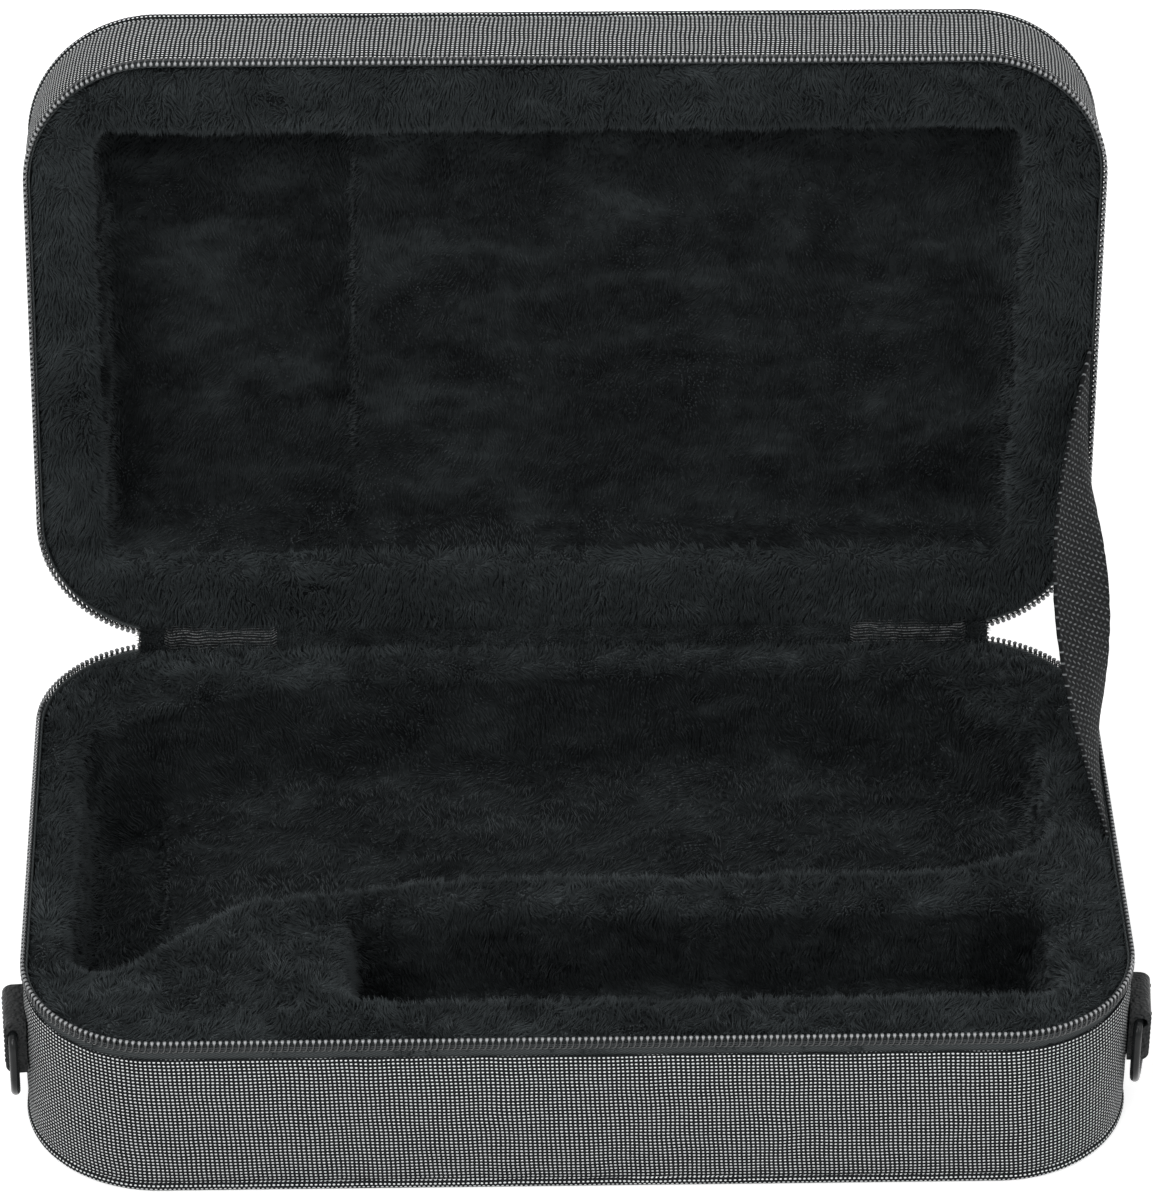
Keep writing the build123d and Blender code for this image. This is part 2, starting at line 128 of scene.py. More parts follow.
def ring_samples():
    """Dense places, outward directions and lengths round the outline, from the hinge's middle."""
    inner_x, inner_y = HALF_LENGTH - CORNER, HALF_DEPTH - CORNER
    places, ways = [], []
    sides = [
        ((0, HALF_DEPTH), (inner_x, HALF_DEPTH), (0, 1)),
        ((inner_x, inner_y), 90),
        ((HALF_LENGTH, inner_y), (HALF_LENGTH, -inner_y), (1, 0)),
        ((inner_x, -inner_y), 0),
        ((inner_x, -HALF_DEPTH), (-inner_x, -HALF_DEPTH), (0, -1)),
        ((-inner_x, -inner_y), -90),
        ((-HALF_LENGTH, -inner_y), (-HALF_LENGTH, inner_y), (-1, 0)),
        ((-inner_x, inner_y), 180),
        ((-inner_x, HALF_DEPTH), (0, HALF_DEPTH), (0, 1)),
    ]
    for side in sides:
        steps = np.linspace(0, 1, 200, endpoint=False)[:, None]
        if len(side) == 3:
            start, end, way = (np.array(v, float) for v in side)
            places.append(start + (end - start) * steps)
            ways.append(np.broadcast_to(way, (200, 2)))
        else:
            turn = np.radians(side[1] - 90 * steps)
            ways.append(np.concatenate([np.cos(turn), np.sin(turn)], 1))
            places.append(np.array(side[0]) + CORNER * ways[-1])
    places = np.concatenate([*places, [[0, HALF_DEPTH]]])
    ways = np.concatenate([*ways, [[0.0, 1.0]]])
    return places, ways, running(places - FABRIC_INSET * ways)


RING_PLACES, RING_WAYS, RING_LENGTHS = ring_samples()
ROUND = RING_LENGTHS[-1]
HINGE_TURN = asin((HALF_HINGE - HALF_LENGTH + CORNER) / CORNER)
HINGE_END = HALF_LENGTH - CORNER + (CORNER - FABRIC_INSET) * HINGE_TURN


def ring_at(length):
    """Plan places on the outline and outward directions at lengths round the case."""
    length = np.asarray(length) % ROUND
    places = np.stack([np.interp(length, RING_LENGTHS, RING_PLACES[:, k]) for k in (0, 1)], -1)
    ways = np.stack([np.interp(length, RING_LENGTHS, RING_WAYS[:, k]) for k in (0, 1)], -1)
    return places, unit(ways)


def wall_point(half, length, inset, depth):
    """Row-frame points at lengths round the case, insets from its outline and depths."""
    places, ways = ring_at(length)
    return place(half, places - np.asarray(inset, float)[..., None] * ways, depth)


def smooth(low, high, value):
    """0 below low, 1 above high and a smooth step between."""
    t = np.clip((value - low) / (high - low), 0, 1)
    return t * t * (3 - 2 * t)


def ripple(length, across, size, seed):
    """Soft uneven waves, from -1 to 1, over two lengths measured in metres."""
    rng = np.random.default_rng(seed)
    total = np.zeros(np.broadcast(length, across).shape)
    for _ in range(5):
        stretch, turn = rng.uniform(0.6, 1.8, 2)
        phase, tilt = rng.uniform(0, 2 * pi, 2)
        bend = 2.2 * np.sin(2 * pi * turn * across / size + tilt)
        total = total + np.sin(2 * pi * stretch * length / size + phase + bend)
    return total / 5


# Meshes

MATERIALS = {}


def new_mesh(name, points, faces, edges=()):
    mesh = bpy.data.meshes.new(name)
    mesh.from_pydata(np.asarray(points).tolist(), edges, faces)
    return mesh


def new_object(name, mesh, *materials):
    piece = bpy.data.objects.new(name, mesh)
    bpy.context.scene.collection.objects.link(piece)
    for material in materials:
        mesh.materials.append(material)
    return piece


def reading(items, name, width, kind):
    """A property of all vertices, loops or triangles, as rows of numbers."""
    values = np.empty(len(items) * width, kind)
    items.foreach_get(name, values)
    return values.reshape(-1, width)


def coordinates(mesh):
    return reading(mesh.vertices, "co", 3, np.float32).astype(float)


def set_coordinates(mesh, points):
    mesh.vertices.foreach_set("co", np.asarray(points, np.float32).ravel())
    mesh.update()


def add_uv(mesh, name, places):
    mesh.uv_layers.new(name=name).data.foreach_set("uv", np.asarray(places, np.float32).ravel())


def mark(mesh, name, values):
    """Keeps a number for each vertex, for a material to read."""
    numbers = np.asarray(values, np.float32).ravel()
    mesh.attributes.new(name, "FLOAT", "POINT").data.foreach_set("value", numbers)


def reworked(mesh, change):
    """Runs change on an editable form of a mesh, and gives what it returns."""
    work = bmesh.new()
    work.from_mesh(mesh)
    answer = change(work)
    work.to_mesh(mesh)
    work.free()
    return answer


def turn_outward(mesh):
    """Turns a closed mesh's faces outward, by the sign of its volume."""
    mesh.calc_loop_triangles()
    corners = reading(mesh.loop_triangles, "vertices", 3, np.int32)
    a, b, c = coordinates(mesh)[corners].transpose(1, 0, 2)
    if (a * np.cross(b, c)).sum() < 0:
        mesh.flip_normals()


def swept(name, points, uv, material, loop=False, merge=False):
    """A closed piece from sections: points are columns x rows, and each column is a closed line.

    loop joins the last column to the first; otherwise both ends get a cap. uv has one more
    column and one more row than points, so that it can run on past a join."""
    columns, rows = points.shape[:2]
    faces, places = [], []
    for c in range(columns if loop else columns - 1):
        d = (c + 1) % columns
        for r in range(rows):
            s = (r + 1) % rows
            faces.append((c * rows + r, d * rows + r, d * rows + s, c * rows + s))
            places += [uv[c, r], uv[c + 1, r], uv[c + 1, r + 1], uv[c, r + 1]]
    if not loop:
        faces.append(tuple(range(rows)))
        places += [uv[0, r] for r in range(rows)]
        faces.append(tuple((columns - 1) * rows + r for r in reversed(range(rows))))
        places += [uv[columns - 1, r] for r in reversed(range(rows))]
    mesh = new_mesh(name, points.reshape(-1, 3), faces)
    add_uv(mesh, "Cloth", places)
    if merge:
        reworked(mesh, lambda work: bmesh.ops.remove_doubles(work, verts=work.verts, dist=1e-6))
    turn_outward(mesh)
    mesh.shade_smooth()
    return new_object(name, mesh, material)


def tube(name, sections):
    """A closed mesh from sections that have as many points each, with a cap at both ends."""
    count, sides = sections.shape[:2]
    faces = []
    for c in range(count - 1):
        for k in range(sides):
            n = (k + 1) % sides
            faces.append((c * sides + k, c * sides + n, (c + 1) * sides + n, (c + 1) * sides + k))
    faces.append(tuple(reversed(range(sides))))
    faces.append(tuple((count - 1) * sides + k for k in range(sides)))
    mesh = new_mesh(name, sections.reshape(-1, 3), faces)
    turn_outward(mesh)
    mesh.shade_smooth()
    return mesh


def section_uv(points, along):
    """UVs in metres for swept(): along the columns as given, and round the sections as measured."""
    across = np.array([running(row) for row in np.concatenate([points, points[:, :1]], 1)])
    across = np.concatenate([across, across[:1]], 0)
    return np.stack([np.broadcast_to(np.asarray(along)[:, None], across.shape), across], -1)


def swept_strip(name, points, lengths, material):
    """swept() with caps, for columns at the given lengths, with UVs in metres."""
    uv = section_uv(points, np.append(lengths, lengths[-1]))
    return swept(name, points, uv, MATERIALS[material])


def once_more(grid):
    """A grid of UVs with its first row and first column again at the end, as swept() takes it."""
    grid = np.concatenate([grid, grid[:, :1]], 1)
    return np.concatenate([grid, grid[:1]], 0)


def evaluated(piece):
    """A piece's mesh with its modifiers applied."""
    graph = bpy.context.evaluated_depsgraph_get()
    return bpy.data.meshes.new_from_object(
        piece.evaluated_get(graph), preserve_all_data_layers=True, depsgraph=graph
    )


def add_modifier(piece, name, kind, **settings):
    modifier = piece.modifiers.new(name, kind)
    for setting, value in settings.items():
        setattr(modifier, setting, value)
    return modifier


def finished(piece):
    """Applies a piece's modifiers, so that its mesh is plain."""
    mesh, old = evaluated(piece), piece.data
    piece.modifiers.clear()
    piece.data = mesh
    bpy.data.meshes.remove(old)
    return piece


def cad_copy(node, name, material, bevel, segments, angle):
    """A CAD node's mesh with merged points and eased edges, as a piece of its own."""
    mesh = frame["nodes"][node].data.copy()
    mesh.name = name
    mesh.materials.clear()

    def merge(work):
        bmesh.ops.remove_doubles(work, verts=work.verts, dist=2e-6)
        bmesh.ops.dissolve_limit(work, angle_limit=radians(1), verts=work.verts, edges=work.edges)
        bmesh.ops.recalc_face_normals(work, faces=work.faces)

    reworked(mesh, merge)
    piece = new_object(name, mesh, material)
    eased = {"width": bevel, "segments": segments, "limit_method": "ANGLE", "angle_limit": radians(angle)}
    add_modifier(piece, "Eased edges", "BEVEL", **eased)
    finished(piece)
    turn_outward(piece.data)
    piece.data.shade_smooth()
    piece.data.set_sharp_from_angle(angle=radians(40))
    return piece


def settle(piece, body, slot, *nodes):
    """Rides a piece on its body and hides the CAD nodes it stands for; slot, which would name its finish,
    is not used.
    """
    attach(piece, body)
    if nodes:
        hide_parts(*nodes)


def bridge(piece, slot, low, high, *nodes):
    """Bakes a piece's place into its mesh and hides the CAD nodes it stands for. low and high, where it
    would bend between the base and the lid, are not used.
    """
    if nodes:
        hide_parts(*nodes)
    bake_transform(piece)


# Node trees


class Output:
    """A node's output. Sums of outputs add maths nodes, and [name] is another output of the node."""

    def __init__(self, socket):
        self.socket = socket

    def __getitem__(self, name):
        return Output(self.socket.node.outputs[name])

    def __add__(self, other):
        return maths("ADD", self, other)

    def __radd__(self, other):
        return maths("ADD", other, self)

    def __sub__(self, other):
        return maths("SUBTRACT", self, other)

    def __rsub__(self, other):
        return maths("SUBTRACT", other, self)

    def __mul__(self, other):
        return maths("MULTIPLY", self, other)

    def __truediv__(self, other):
        return maths("DIVIDE", self, other)

    def __rtruediv__(self, other):
        return maths("DIVIDE", other, self)

    def __pow__(self, other):
        return maths("POWER", self, other)


def feed(node, inputs):
    """Sets a node's inputs to plain values or links them to outputs."""
    for name, value in inputs.items():
        if isinstance(value, Output):
            node.id_data.links.new(value.socket, node.inputs[name])
        else:
            node.inputs[name].default_value = value


def add_node(tree, kind, inputs=None, **settings):
    """A new node, set and fed. Gives its first output, or itself where it has none."""
    node = tree.nodes.new(kind)
    for name, value in settings.items():
        setattr(node, name, value)
    feed(node, inputs or {})
    return Output(node.outputs[0]) if node.outputs else node


def tree_of(values):
    """The tree that the first output among some values is in."""
    return next(value.socket.id_data for value in values if isinstance(value, Output))


def maths(operation, *values, clamp=False):
    inputs = dict(enumerate(values))
    return add_node(tree_of(values), "ShaderNodeMath", inputs, operation=operation, use_clamp=clamp)


def vectors(operation, *values):
    made = add_node(tree_of(values), "ShaderNodeVectorMath", dict(enumerate(values)), operation=operation)
    return made["Value" if operation == "DOT_PRODUCT" else "Vector"]


def scaled(vector, factor):
    inputs = {0: vector, "Scale": factor}
    return add_node(tree_of([vector]), "ShaderNodeVectorMath", inputs, operation="SCALE")


def blend_colours(factor, first, second):
    """A colour mix: its sockets share names, so they are found by place."""
    inputs = {0: factor, 6: first, 7: second}
    return add_node(tree_of([factor]), "ShaderNodeMix", inputs, data_type="RGBA")[2]


def new_group(name, kind, inputs, results):
    """A node group, its given inputs, and the node that takes its results.

    An input is told by its default, or by its kind where it has none."""
    tree = bpy.data.node_groups.new(name, kind)
    plain_kinds = {float: "Float", int: "Int", tuple: "Vector"}
    for socket, default in inputs.items():
        plain = plain_kinds.get(type(default))
        made = tree.interface.new_socket(
            socket, in_out="INPUT", socket_type="NodeSocket" + (plain or default)
        )
        if plain:
            made.default_value = default
    result_kind = "NodeSocketGeometry" if kind == "GeometryNodeTree" else "NodeSocketFloat"
    for socket in results:
        tree.interface.new_socket(socket, in_out="OUTPUT", socket_type=result_kind)
    return tree, add_node(tree, "NodeGroupInput"), add_node(tree, "NodeGroupOutput")


GROUPS = {}


def shared(maker):
    """A node group that one of the functions below makes the first time it is asked for."""
    if maker not in GROUPS:
        GROUPS[maker] = maker()
    return GROUPS[maker]


def run_tree(tree, source, values, name):
    """The result of a Geometry Nodes tree on source, as a new plain mesh. source is removed."""
    grow = add_modifier(source, "Tree", "NODES", node_group=tree)
    for item in tree.interface.items_tree:
        if item.item_type == "SOCKET" and item.in_out == "INPUT" and item.name in values:
            grow[item.identifier] = values[item.name]
    mesh, old = evaluated(source), source.data
    mesh.name = name
    bpy.data.objects.remove(source)
    bpy.data.meshes.remove(old)
    return new_object(name, mesh)


def real_copies(tree, result, copies, material):
    """Ends a tree: its instances are made real and get their material."""
    real = add_node(tree, "GeometryNodeRealizeInstances", {0: copies})
    painted = add_node(tree, "GeometryNodeSetMaterial", {"Geometry": real, "Material": material})
    feed(result, {"Result": painted})


def line_tree():
    """Repeats an item along a line, with the item's Z towards a given direction."""
    inputs = {"Line": "Geometry", "Item": "Object", "Count": 10, "Up": (0, 0, 1), "Material": "Material"}
    tree, given, result = new_group("Repeat along a line", "GeometryNodeTree", inputs, ["Result"])
    curve = add_node(tree, "GeometryNodeMeshToCurve", {"Mesh": given["Line"]})
    spaced = add_node(tree, "GeometryNodeResampleCurve", {"Curve": curve, "Count": given["Count"]})
    tangent = add_node(tree, "GeometryNodeInputTangent")
    axes = {"Primary Axis": tangent, "Secondary Axis": given["Up"]}
    turned = add_node(tree, "FunctionNodeAxesToRotation", axes, primary_axis="X", secondary_axis="Z")
    item = add_node(tree, "GeometryNodeObjectInfo", {"Object": given["Item"]})["Geometry"]
    set_out = {"Points": spaced, "Instance": item, "Rotation": turned}
    copies = add_node(tree, "GeometryNodeInstanceOnPoints", set_out)
    real_copies(tree, result, copies, given["Material"])
    return tree


def pile_tree():
    """Grows fibres on a cloth. They lie along the nap, swirl in patches and lean into tufts."""
    inputs = {
        "Cloth": "Geometry", "Fibre": "Object", "Density": 1000.0, "Seed": 1, "Length": 0.005,
        "Width": 0.0003, "Nap": (0, 0, 0), "Swirl": 0.5, "Swirl size": 0.03, "Tuft": 0.5,
        "Tuft size": 0.004, "Spread": 0.2, "Painted light and shade": 0.0, "Material": "Material",
    }
    tree, given, result = new_group("Plush pile", "GeometryNodeTree", inputs, ["Result"])
    seed = given["Seed"]
    cloth = {"Mesh": given["Cloth"], "Density": given["Density"], "Seed": seed}
    roots = add_node(tree, "GeometryNodeDistributePointsOnFaces", cloth)
    normal = roots["Normal"]
    spot = add_node(tree, "GeometryNodeInputPosition")
    direction = vectors("ADD", normal, given["Nap"])
    for amount in ("Swirl", "Tuft"):
        noises = {"Vector": spot, "Scale": 1.0 / given[amount + " size"], "Detail": 1.0}
        patches = add_node(tree, "ShaderNodeTexNoise", noises)["Color"]
        centred = vectors("SUBTRACT", patches, (0.5, 0.5, 0.5))
        direction = vectors("ADD", direction, scaled(centred, given[amount] * 4.0))
    ends = {0: (-1, -1, -1), 1: (1, 1, 1), "Seed": seed}
    stray = add_node(tree, "FunctionNodeRandomValue", ends, data_type="FLOAT_VECTOR")
    direction = vectors("ADD", direction, scaled(stray, given["Spread"]))
    # Nothing grows into the cloth
    upright = vectors("DOT_PRODUCT", vectors("NORMALIZE", direction), normal)
    lift = maths("MAXIMUM", 0.45 - upright, 0.0)
    direction = vectors("ADD", vectors("NORMALIZE", direction), scaled(normal, lift))
    turned = add_node(tree, "FunctionNodeAlignRotationToVector", {"Vector": direction}, axis="Z")
    ends = {2: 0.65, 3: 1.15, "Seed": seed + 7.0}
    long_or_short = add_node(tree, "FunctionNodeRandomValue", ends, data_type="FLOAT")[1]
    sizes = {0: given["Width"], 1: given["Width"], 2: given["Length"] * long_or_short}
    size = add_node(tree, "ShaderNodeCombineXYZ", sizes)
    fibre = add_node(tree, "GeometryNodeObjectInfo", {"Object": given["Fibre"]})["Geometry"]
    set_out = {"Points": roots["Points"], "Instance": fibre, "Rotation": turned, "Scale": size}
    copies = add_node(tree, "GeometryNodeInstanceOnPoints", set_out)
    shade = add_node(tree, "FunctionNodeRandomValue", {"Seed": seed + 19.0}, data_type="FLOAT")[1]
    # Each fibre's strand value is its random tone plus its patch's painted light and shade
    strand = {"Geometry": copies, "Name": "strand", "Value": shade * 0.5 + given["Painted light and shade"]}
    marked = add_node(
        tree, "GeometryNodeStoreNamedAttribute", strand, data_type="FLOAT", domain="INSTANCE"
    )
    real_copies(tree, result, marked, given["Material"])
    return tree


# Shader groups and materials


def dots_group():
    """Rows of raised thread dots on a plain ground, over UVs in metres."""
    inputs = {
        "Vector": (0, 0, 0), "Pitch along": 0.0019, "Pitch across": 0.00173, "Dot length": 0.62,
        "Dot width": 0.5, "Slant": 0.0, "Drift": 0.05,
    }
    tree, given, result = new_group("Dotted weave", "ShaderNodeTree", inputs, ["Dot", "Height", "Change"])
    parts = add_node(tree, "ShaderNodeSeparateXYZ", {0: given["Vector"]})
    noises = {"Vector": given["Vector"], "Scale": 45.0, "Detail": 1.0}
    wander = add_node(tree, "ShaderNodeTexNoise", noises)["Color"]
    sway = add_node(tree, "ShaderNodeSeparateXYZ", {0: wander})
    v = parts[1] / given["Pitch across"] + (sway[1] - 0.5) * 0.6
    row = maths("FLOOR", v)
    u = parts[0] / given["Pitch along"] + row * given["Drift"] + (sway[0] - 0.5) * 0.8
    in_v = maths("FRACT", v) - 0.5
    # Every other row slants the other way
    u = u + given["Slant"] * in_v * (maths("PINGPONG", row, 1.0) * 2.0 - 1.0)
    in_u = maths("FRACT", u) - 0.5
    cell = add_node(tree, "ShaderNodeCombineXYZ", {0: maths("FLOOR", u), 1: row})
    change = add_node(tree, "ShaderNodeTexWhiteNoise", {"Vector": cell})["Value"]
    size = 0.86 + change * 0.22
    out_u, out_v = in_u / (given["Dot length"] * size), in_v / (given["Dot width"] * size)
    far = maths("SQRT", out_u ** 2.0 + out_v ** 2.0)
    edge = {"Value": far, "From Min": 0.56, "From Max": 0.40, "To Min": 0.0, "To Max": 1.0}
    dot = add_node(tree, "ShaderNodeMapRange", edge, interpolation_type="SMOOTHSTEP")
    dome = maths("SQRT", maths("SUBTRACT", 1.0, far * far, clamp=True))
    twill = maths("SINE", (u + v) * (2 * pi)) * 0.12
    feed(result, {"Dot": dot, "Height": dome * dot + twill, "Change": change})
    return tree


def grain_group():
    """Fine grain and slow patches, from 0 to 1, for wear, nap and dust."""
    inputs = {"Vector": (0, 0, 0), "Grain size": 0.001, "Patch size": 0.03, "Stretch": (1, 1, 1)}
    tree, given, result = new_group("Grain and patches", "ShaderNodeTree", inputs, ["Grain", "Patches"])
    for socket, size, detail in (("Grain", "Grain size", 3.0), ("Patches", "Patch size", 2.0)):
        spot = vectors("MULTIPLY", given["Vector"], given["Stretch"])
        noises = {"Vector": spot, "Scale": 1.0 / given[size], "Detail": detail, "Roughness": 0.6}
        field = add_node(tree, "ShaderNodeTexNoise", noises)["Fac"]
        clearer = add_node(tree, "ShaderNodeMapRange", {"Value": field, "From Min": 0.3, "From Max": 0.7})
        feed(result, {socket: clearer})
    return tree


def rib_group():
    """Fine diagonal twill ribs over UVs in metres."""
    inputs = {"Vector": (0, 0, 0), "Rib pitch": 0.0008, "Slope": 1.0}
    tree, given, result = new_group("Twill ribs", "ShaderNodeTree", inputs, ["Rib"])
    parts = add_node(tree, "ShaderNodeSeparateXYZ", {0: given["Vector"]})
    run = parts[0] * given["Slope"] + parts[1]
    wave = maths("SINE", run / given["Rib pitch"] * (2 * pi))
    feed(result, {"Rib": wave * 0.5 + 0.5})
    return tree


def use_group(maker, vector, **inputs):
    """A shader group placed in the material that its vector comes from."""
    inputs = {name.replace("_", " "): value for name, value in inputs.items()}
    tree = tree_of([vector])
    return add_node(tree, "ShaderNodeGroup", {"Vector": vector, **inputs}, node_tree=shared(maker))


def grain(vector, grain_size, patch_size, stretch=(1, 1, 1)):
    return use_group(
        grain_group, vector, Grain_size=grain_size, Patch_size=patch_size, Stretch=stretch
    )


def ribs(vector, pitch, slope):
    return use_group(rib_group, vector, Rib_pitch=pitch, Slope=slope)


def new_material(name, **plain):
    """A material's tree and its Principled shader, with plain values set on the shader's sockets."""
    material = bpy.data.materials.new(name)
    material.use_nodes = True
    shader = material.node_tree.nodes["Principled BSDF"]
    feed(shader, {socket.replace("_", " "): value for socket, value in plain.items()})
    MATERIALS[name] = material
    return material.node_tree, shader


def bump(height, distance, strength=1.0):
    inputs = {"Height": height, "Distance": distance, "Strength": strength}
    return add_node(tree_of([height]), "ShaderNodeBump", inputs)


def cloth_uv(tree):
    return add_node(tree, "ShaderNodeUVMap", uv_map="Cloth")


def object_place(tree):
    return add_node(tree, "ShaderNodeTexCoord")["Object"]


def attribute(tree, name):
    return add_node(tree, "ShaderNodeAttribute", attribute_name=name)["Fac"]


def make_cover_fabric(look):
    tree, shader = new_material("Cover fabric", Roughness=0.8, Specular_IOR_Level=0.12)
    spot = cloth_uv(tree)
    pitches = {"Pitch_along": look.dot_pitch, "Pitch_across": look.row_pitch}
    weave = use_group(dots_group, spot, **pitches, Dot_length=0.62, Dot_width=0.48, Drift=0.06)
    dots = blend_colours(weave["Change"], look.dot_colour, look.dull_dot_colour)
    ground = blend_colours(grain(spot, 0.0006, 0.04)["Grain"], look.ground_colour, look.thread_colour)
    colour = blend_colours(weave["Dot"], ground, dots)
    feed(shader, {"Base Color": colour, "Normal": bump(weave["Height"], 0.0003, 0.7)})


def make_ribbed_webbing(look):
    """The bands' weave: bright ribs that waver along the band, crossed by fine threads."""
    tree, shader = new_material("Ribbed webbing", Roughness=0.7, Specular_IOR_Level=0.2)
    spot = cloth_uv(tree)
    wander = add_node(tree, "ShaderNodeTexNoise", {"Vector": spot, "Scale": 110.0, "Detail": 1.0})["Color"]
    sway = scaled(vectors("SUBTRACT", wander, (0.5, 0.5, 0.5)), 0.0022)
    rib = ribs(vectors("ADD", spot, sway), look.rib_pitch, 0.0)
    bright = rib ** 4.0 * (0.5 + ribs(spot, 0.0009, 1.3) * 0.5)
    colour = blend_colours(bright, look.web_colour, look.rib_colour)
    feed(shader, {"Base Color": colour, "Normal": bump(rib, 0.0004)})


def make_webbing(look):
    tree, shader = new_material("Webbing", Roughness=0.8, Specular_IOR_Level=0.12)
    spot = cloth_uv(tree)
    pitches = {"Pitch_along": look.tick_pitch, "Pitch_across": look.line_pitch}
    ticks = {"Dot_length": 0.56, "Dot_width": 0.5, "Slant": 0.7, "Drift": 0.5}
    weave = use_group(dots_group, spot, **pitches, **ticks)
    tick = blend_colours(weave["Change"], look.tick_colour, look.dull_tick_colour)
    ground = blend_colours(grain(spot, 0.0005, 0.02)["Grain"], look.web_colour, look.web_thread_colour)
    colour = blend_colours(weave["Dot"], ground, tick)
    feed(shader, {"Base Color": colour, "Normal": bump(weave["Height"], 0.0004, 0.8)})


def make_zip_tape(look):
    tree, shader = new_material("Zip tape", Roughness=0.7, Specular_IOR_Level=0.3)
    spot = cloth_uv(tree)
    rib = ribs(spot, 0.0011, 0.45)
    shade = rib * (0.45 + grain(spot, 0.0004, 0.02)["Grain"] * 0.55)
    colour = blend_colours(shade, look.tape_colour, look.tape_thread_colour)
    feed(shader, {"Base Color": colour, "Normal": bump(rib, 0.00015)})


def make_zip_coil(look):
    tree, shader = new_material("Zip coil", Roughness=0.25, Specular_IOR_Level=0.65)
    worn = grain(object_place(tree), 0.0009, 0.02)["Grain"]
    nylon = blend_colours(worn, look.coil_colour, look.coil_worn_colour)
    # Painted glints: the head attribute marks spots on the tooth heads, which get a pale colour that
    # stands in for highlights
    feed(shader, {"Base Color": blend_colours(attribute(tree, "head"), nylon, look.painted_glint_colour)})


def make_plush(look):
    """The cloth under the pile, and the pile itself, which is paler towards its tips."""
    sheen = {"Sheen_Weight": look.sheen, "Sheen_Roughness": 0.45, "Sheen_Tint": look.sheen_colour}
    for name in ("Plush backing", "Plush pile"):
        tree, shader = new_material(name, Roughness=0.9, Specular_IOR_Level=0.06, **sheen)
        spot = object_place(tree)
        nap = grain(spot, 0.0045, 0.032)
        # A few pale smears where the pile is brushed the other way
        crushed = grain(spot, 0.012, 0.021, (0.5, 1, 1.2))["Patches"]
        shade = nap["Grain"] * 0.16 + (nap["Patches"] * 0.24 + crushed ** 2.5 * 0.55)
        # Each fibre's strand value is its random tone plus its patch's painted light and shade, and fibres
        # are darker towards their roots: painted shade between the fibres
        if name == "Plush pile":
            shade = (shade + attribute(tree, "strand") * 0.16) * (0.7 + attribute(tree, "tip") * 0.3)
        else:
            # The backing is darker than the pile: painted shade under the fibres
            shade = shade * 0.6
        feed(shader, {"Base Color": blend_colours(shade, look.root_colour, look.tip_colour)})


def make_foam(look):
    tree, shader = new_material("Foam", Roughness=0.9)
    cells = add_node(tree, "ShaderNodeTexVoronoi", {"Vector": object_place(tree), "Scale": 900.0})
    colour = blend_colours(cells["Distance"], look.foam_colour, look.foam_cell_colour)
    feed(shader, {"Base Color": colour, "Normal": bump(cells["Distance"], 0.0003)})


def make_leatherette(look):
    tree, shader = new_material("Tab leatherette", Specular_IOR_Level=0.3)
    spot = object_place(tree)
    inputs = {"Vector": spot, "Scale": 760.0, "Randomness": 0.9}
    pebbles = add_node(tree, "ShaderNodeTexVoronoi", inputs, feature="SMOOTH_F1")["Distance"]
    worn = grain(spot, 0.0008, 0.01)
    colour = blend_colours(worn["Grain"], look.leatherette_colour, look.leatherette_worn_colour)
    roughness = 0.42 + worn["Patches"] * 0.2
    feed(shader, {"Base Color": colour, "Roughness": roughness, "Normal": bump(pebbles, 0.0007)})


def make_metal(look):
    tree, shader = new_material("Black metal", Specular_IOR_Level=0.22)
    worn = grain(object_place(tree), 0.0012, 0.012)
    colour = blend_colours(worn["Patches"], look.metal_colour, look.metal_worn_colour)
    feed(shader, {"Base Color": colour, "Roughness": 0.14 + worn["Grain"] * 0.12})


def make_thread(look):
    tree, shader = new_material("Sewing thread", Roughness=0.55)
    twist = ribs(object_place(tree), 0.0005, 1.0)
    feed(shader, {"Base Color": blend_colours(twist, look.thread_colour, look.sewing_colour)})


# What a user may change


def a_length(name, description, default):
    return FloatProperty(
        name=name, description=description, default=default, min=0.0, precision=5,
        unit="LENGTH", subtype="DISTANCE",
    )


def a_colour(name, description, default):
    return FloatVectorProperty(
        name=name, description=description, default=(*default, 1.0), size=4, min=0.0, max=1.0,
        subtype="COLOR",
    )


def a_share(name, description, default, top=1.0):
    return FloatProperty(
        name=name, description=description, default=default, min=0.0, max=top,
        subtype="FACTOR" if top == 1.0 else "NONE",
    )


class CoverSettings(bpy.types.PropertyGroup):
    """The outer covers."""

    dot_pitch: a_length("Dot pitch", "Distance between dots along a row", 0.0019)
    row_pitch: a_length("Row pitch", "Distance between rows of dots", 0.00173)
    slack: a_length("Slack", "How far the side covers stand out at half height", 0.0009)
    panel_crown: a_length("Panel crown", "How far the lid's panel domes", 0.0015)
    dot_colour: a_colour("Dots", "Colour of the brightest dots", (0.97, 0.98, 0.98))
    dull_dot_colour: a_colour("Dull dots", "Colour of the dullest dots", (0.72, 0.74, 0.75))
    ground_colour: a_colour("Ground", "Colour of the ground weave", (0.003, 0.0035, 0.004))
    thread_colour: a_colour("Threads", "Colour of the ground's high threads", (0.013, 0.015, 0.016))
    sewing_colour: a_colour("Sewing thread", "Colour of the seams' thread", (0.05, 0.055, 0.06))
    foam_colour: a_colour("Foam", "Colour of the foam", (0.82, 0.82, 0.8))
    foam_cell_colour: a_colour("Foam cells", "Colour of the foam's cells", (0.7, 0.7, 0.68))


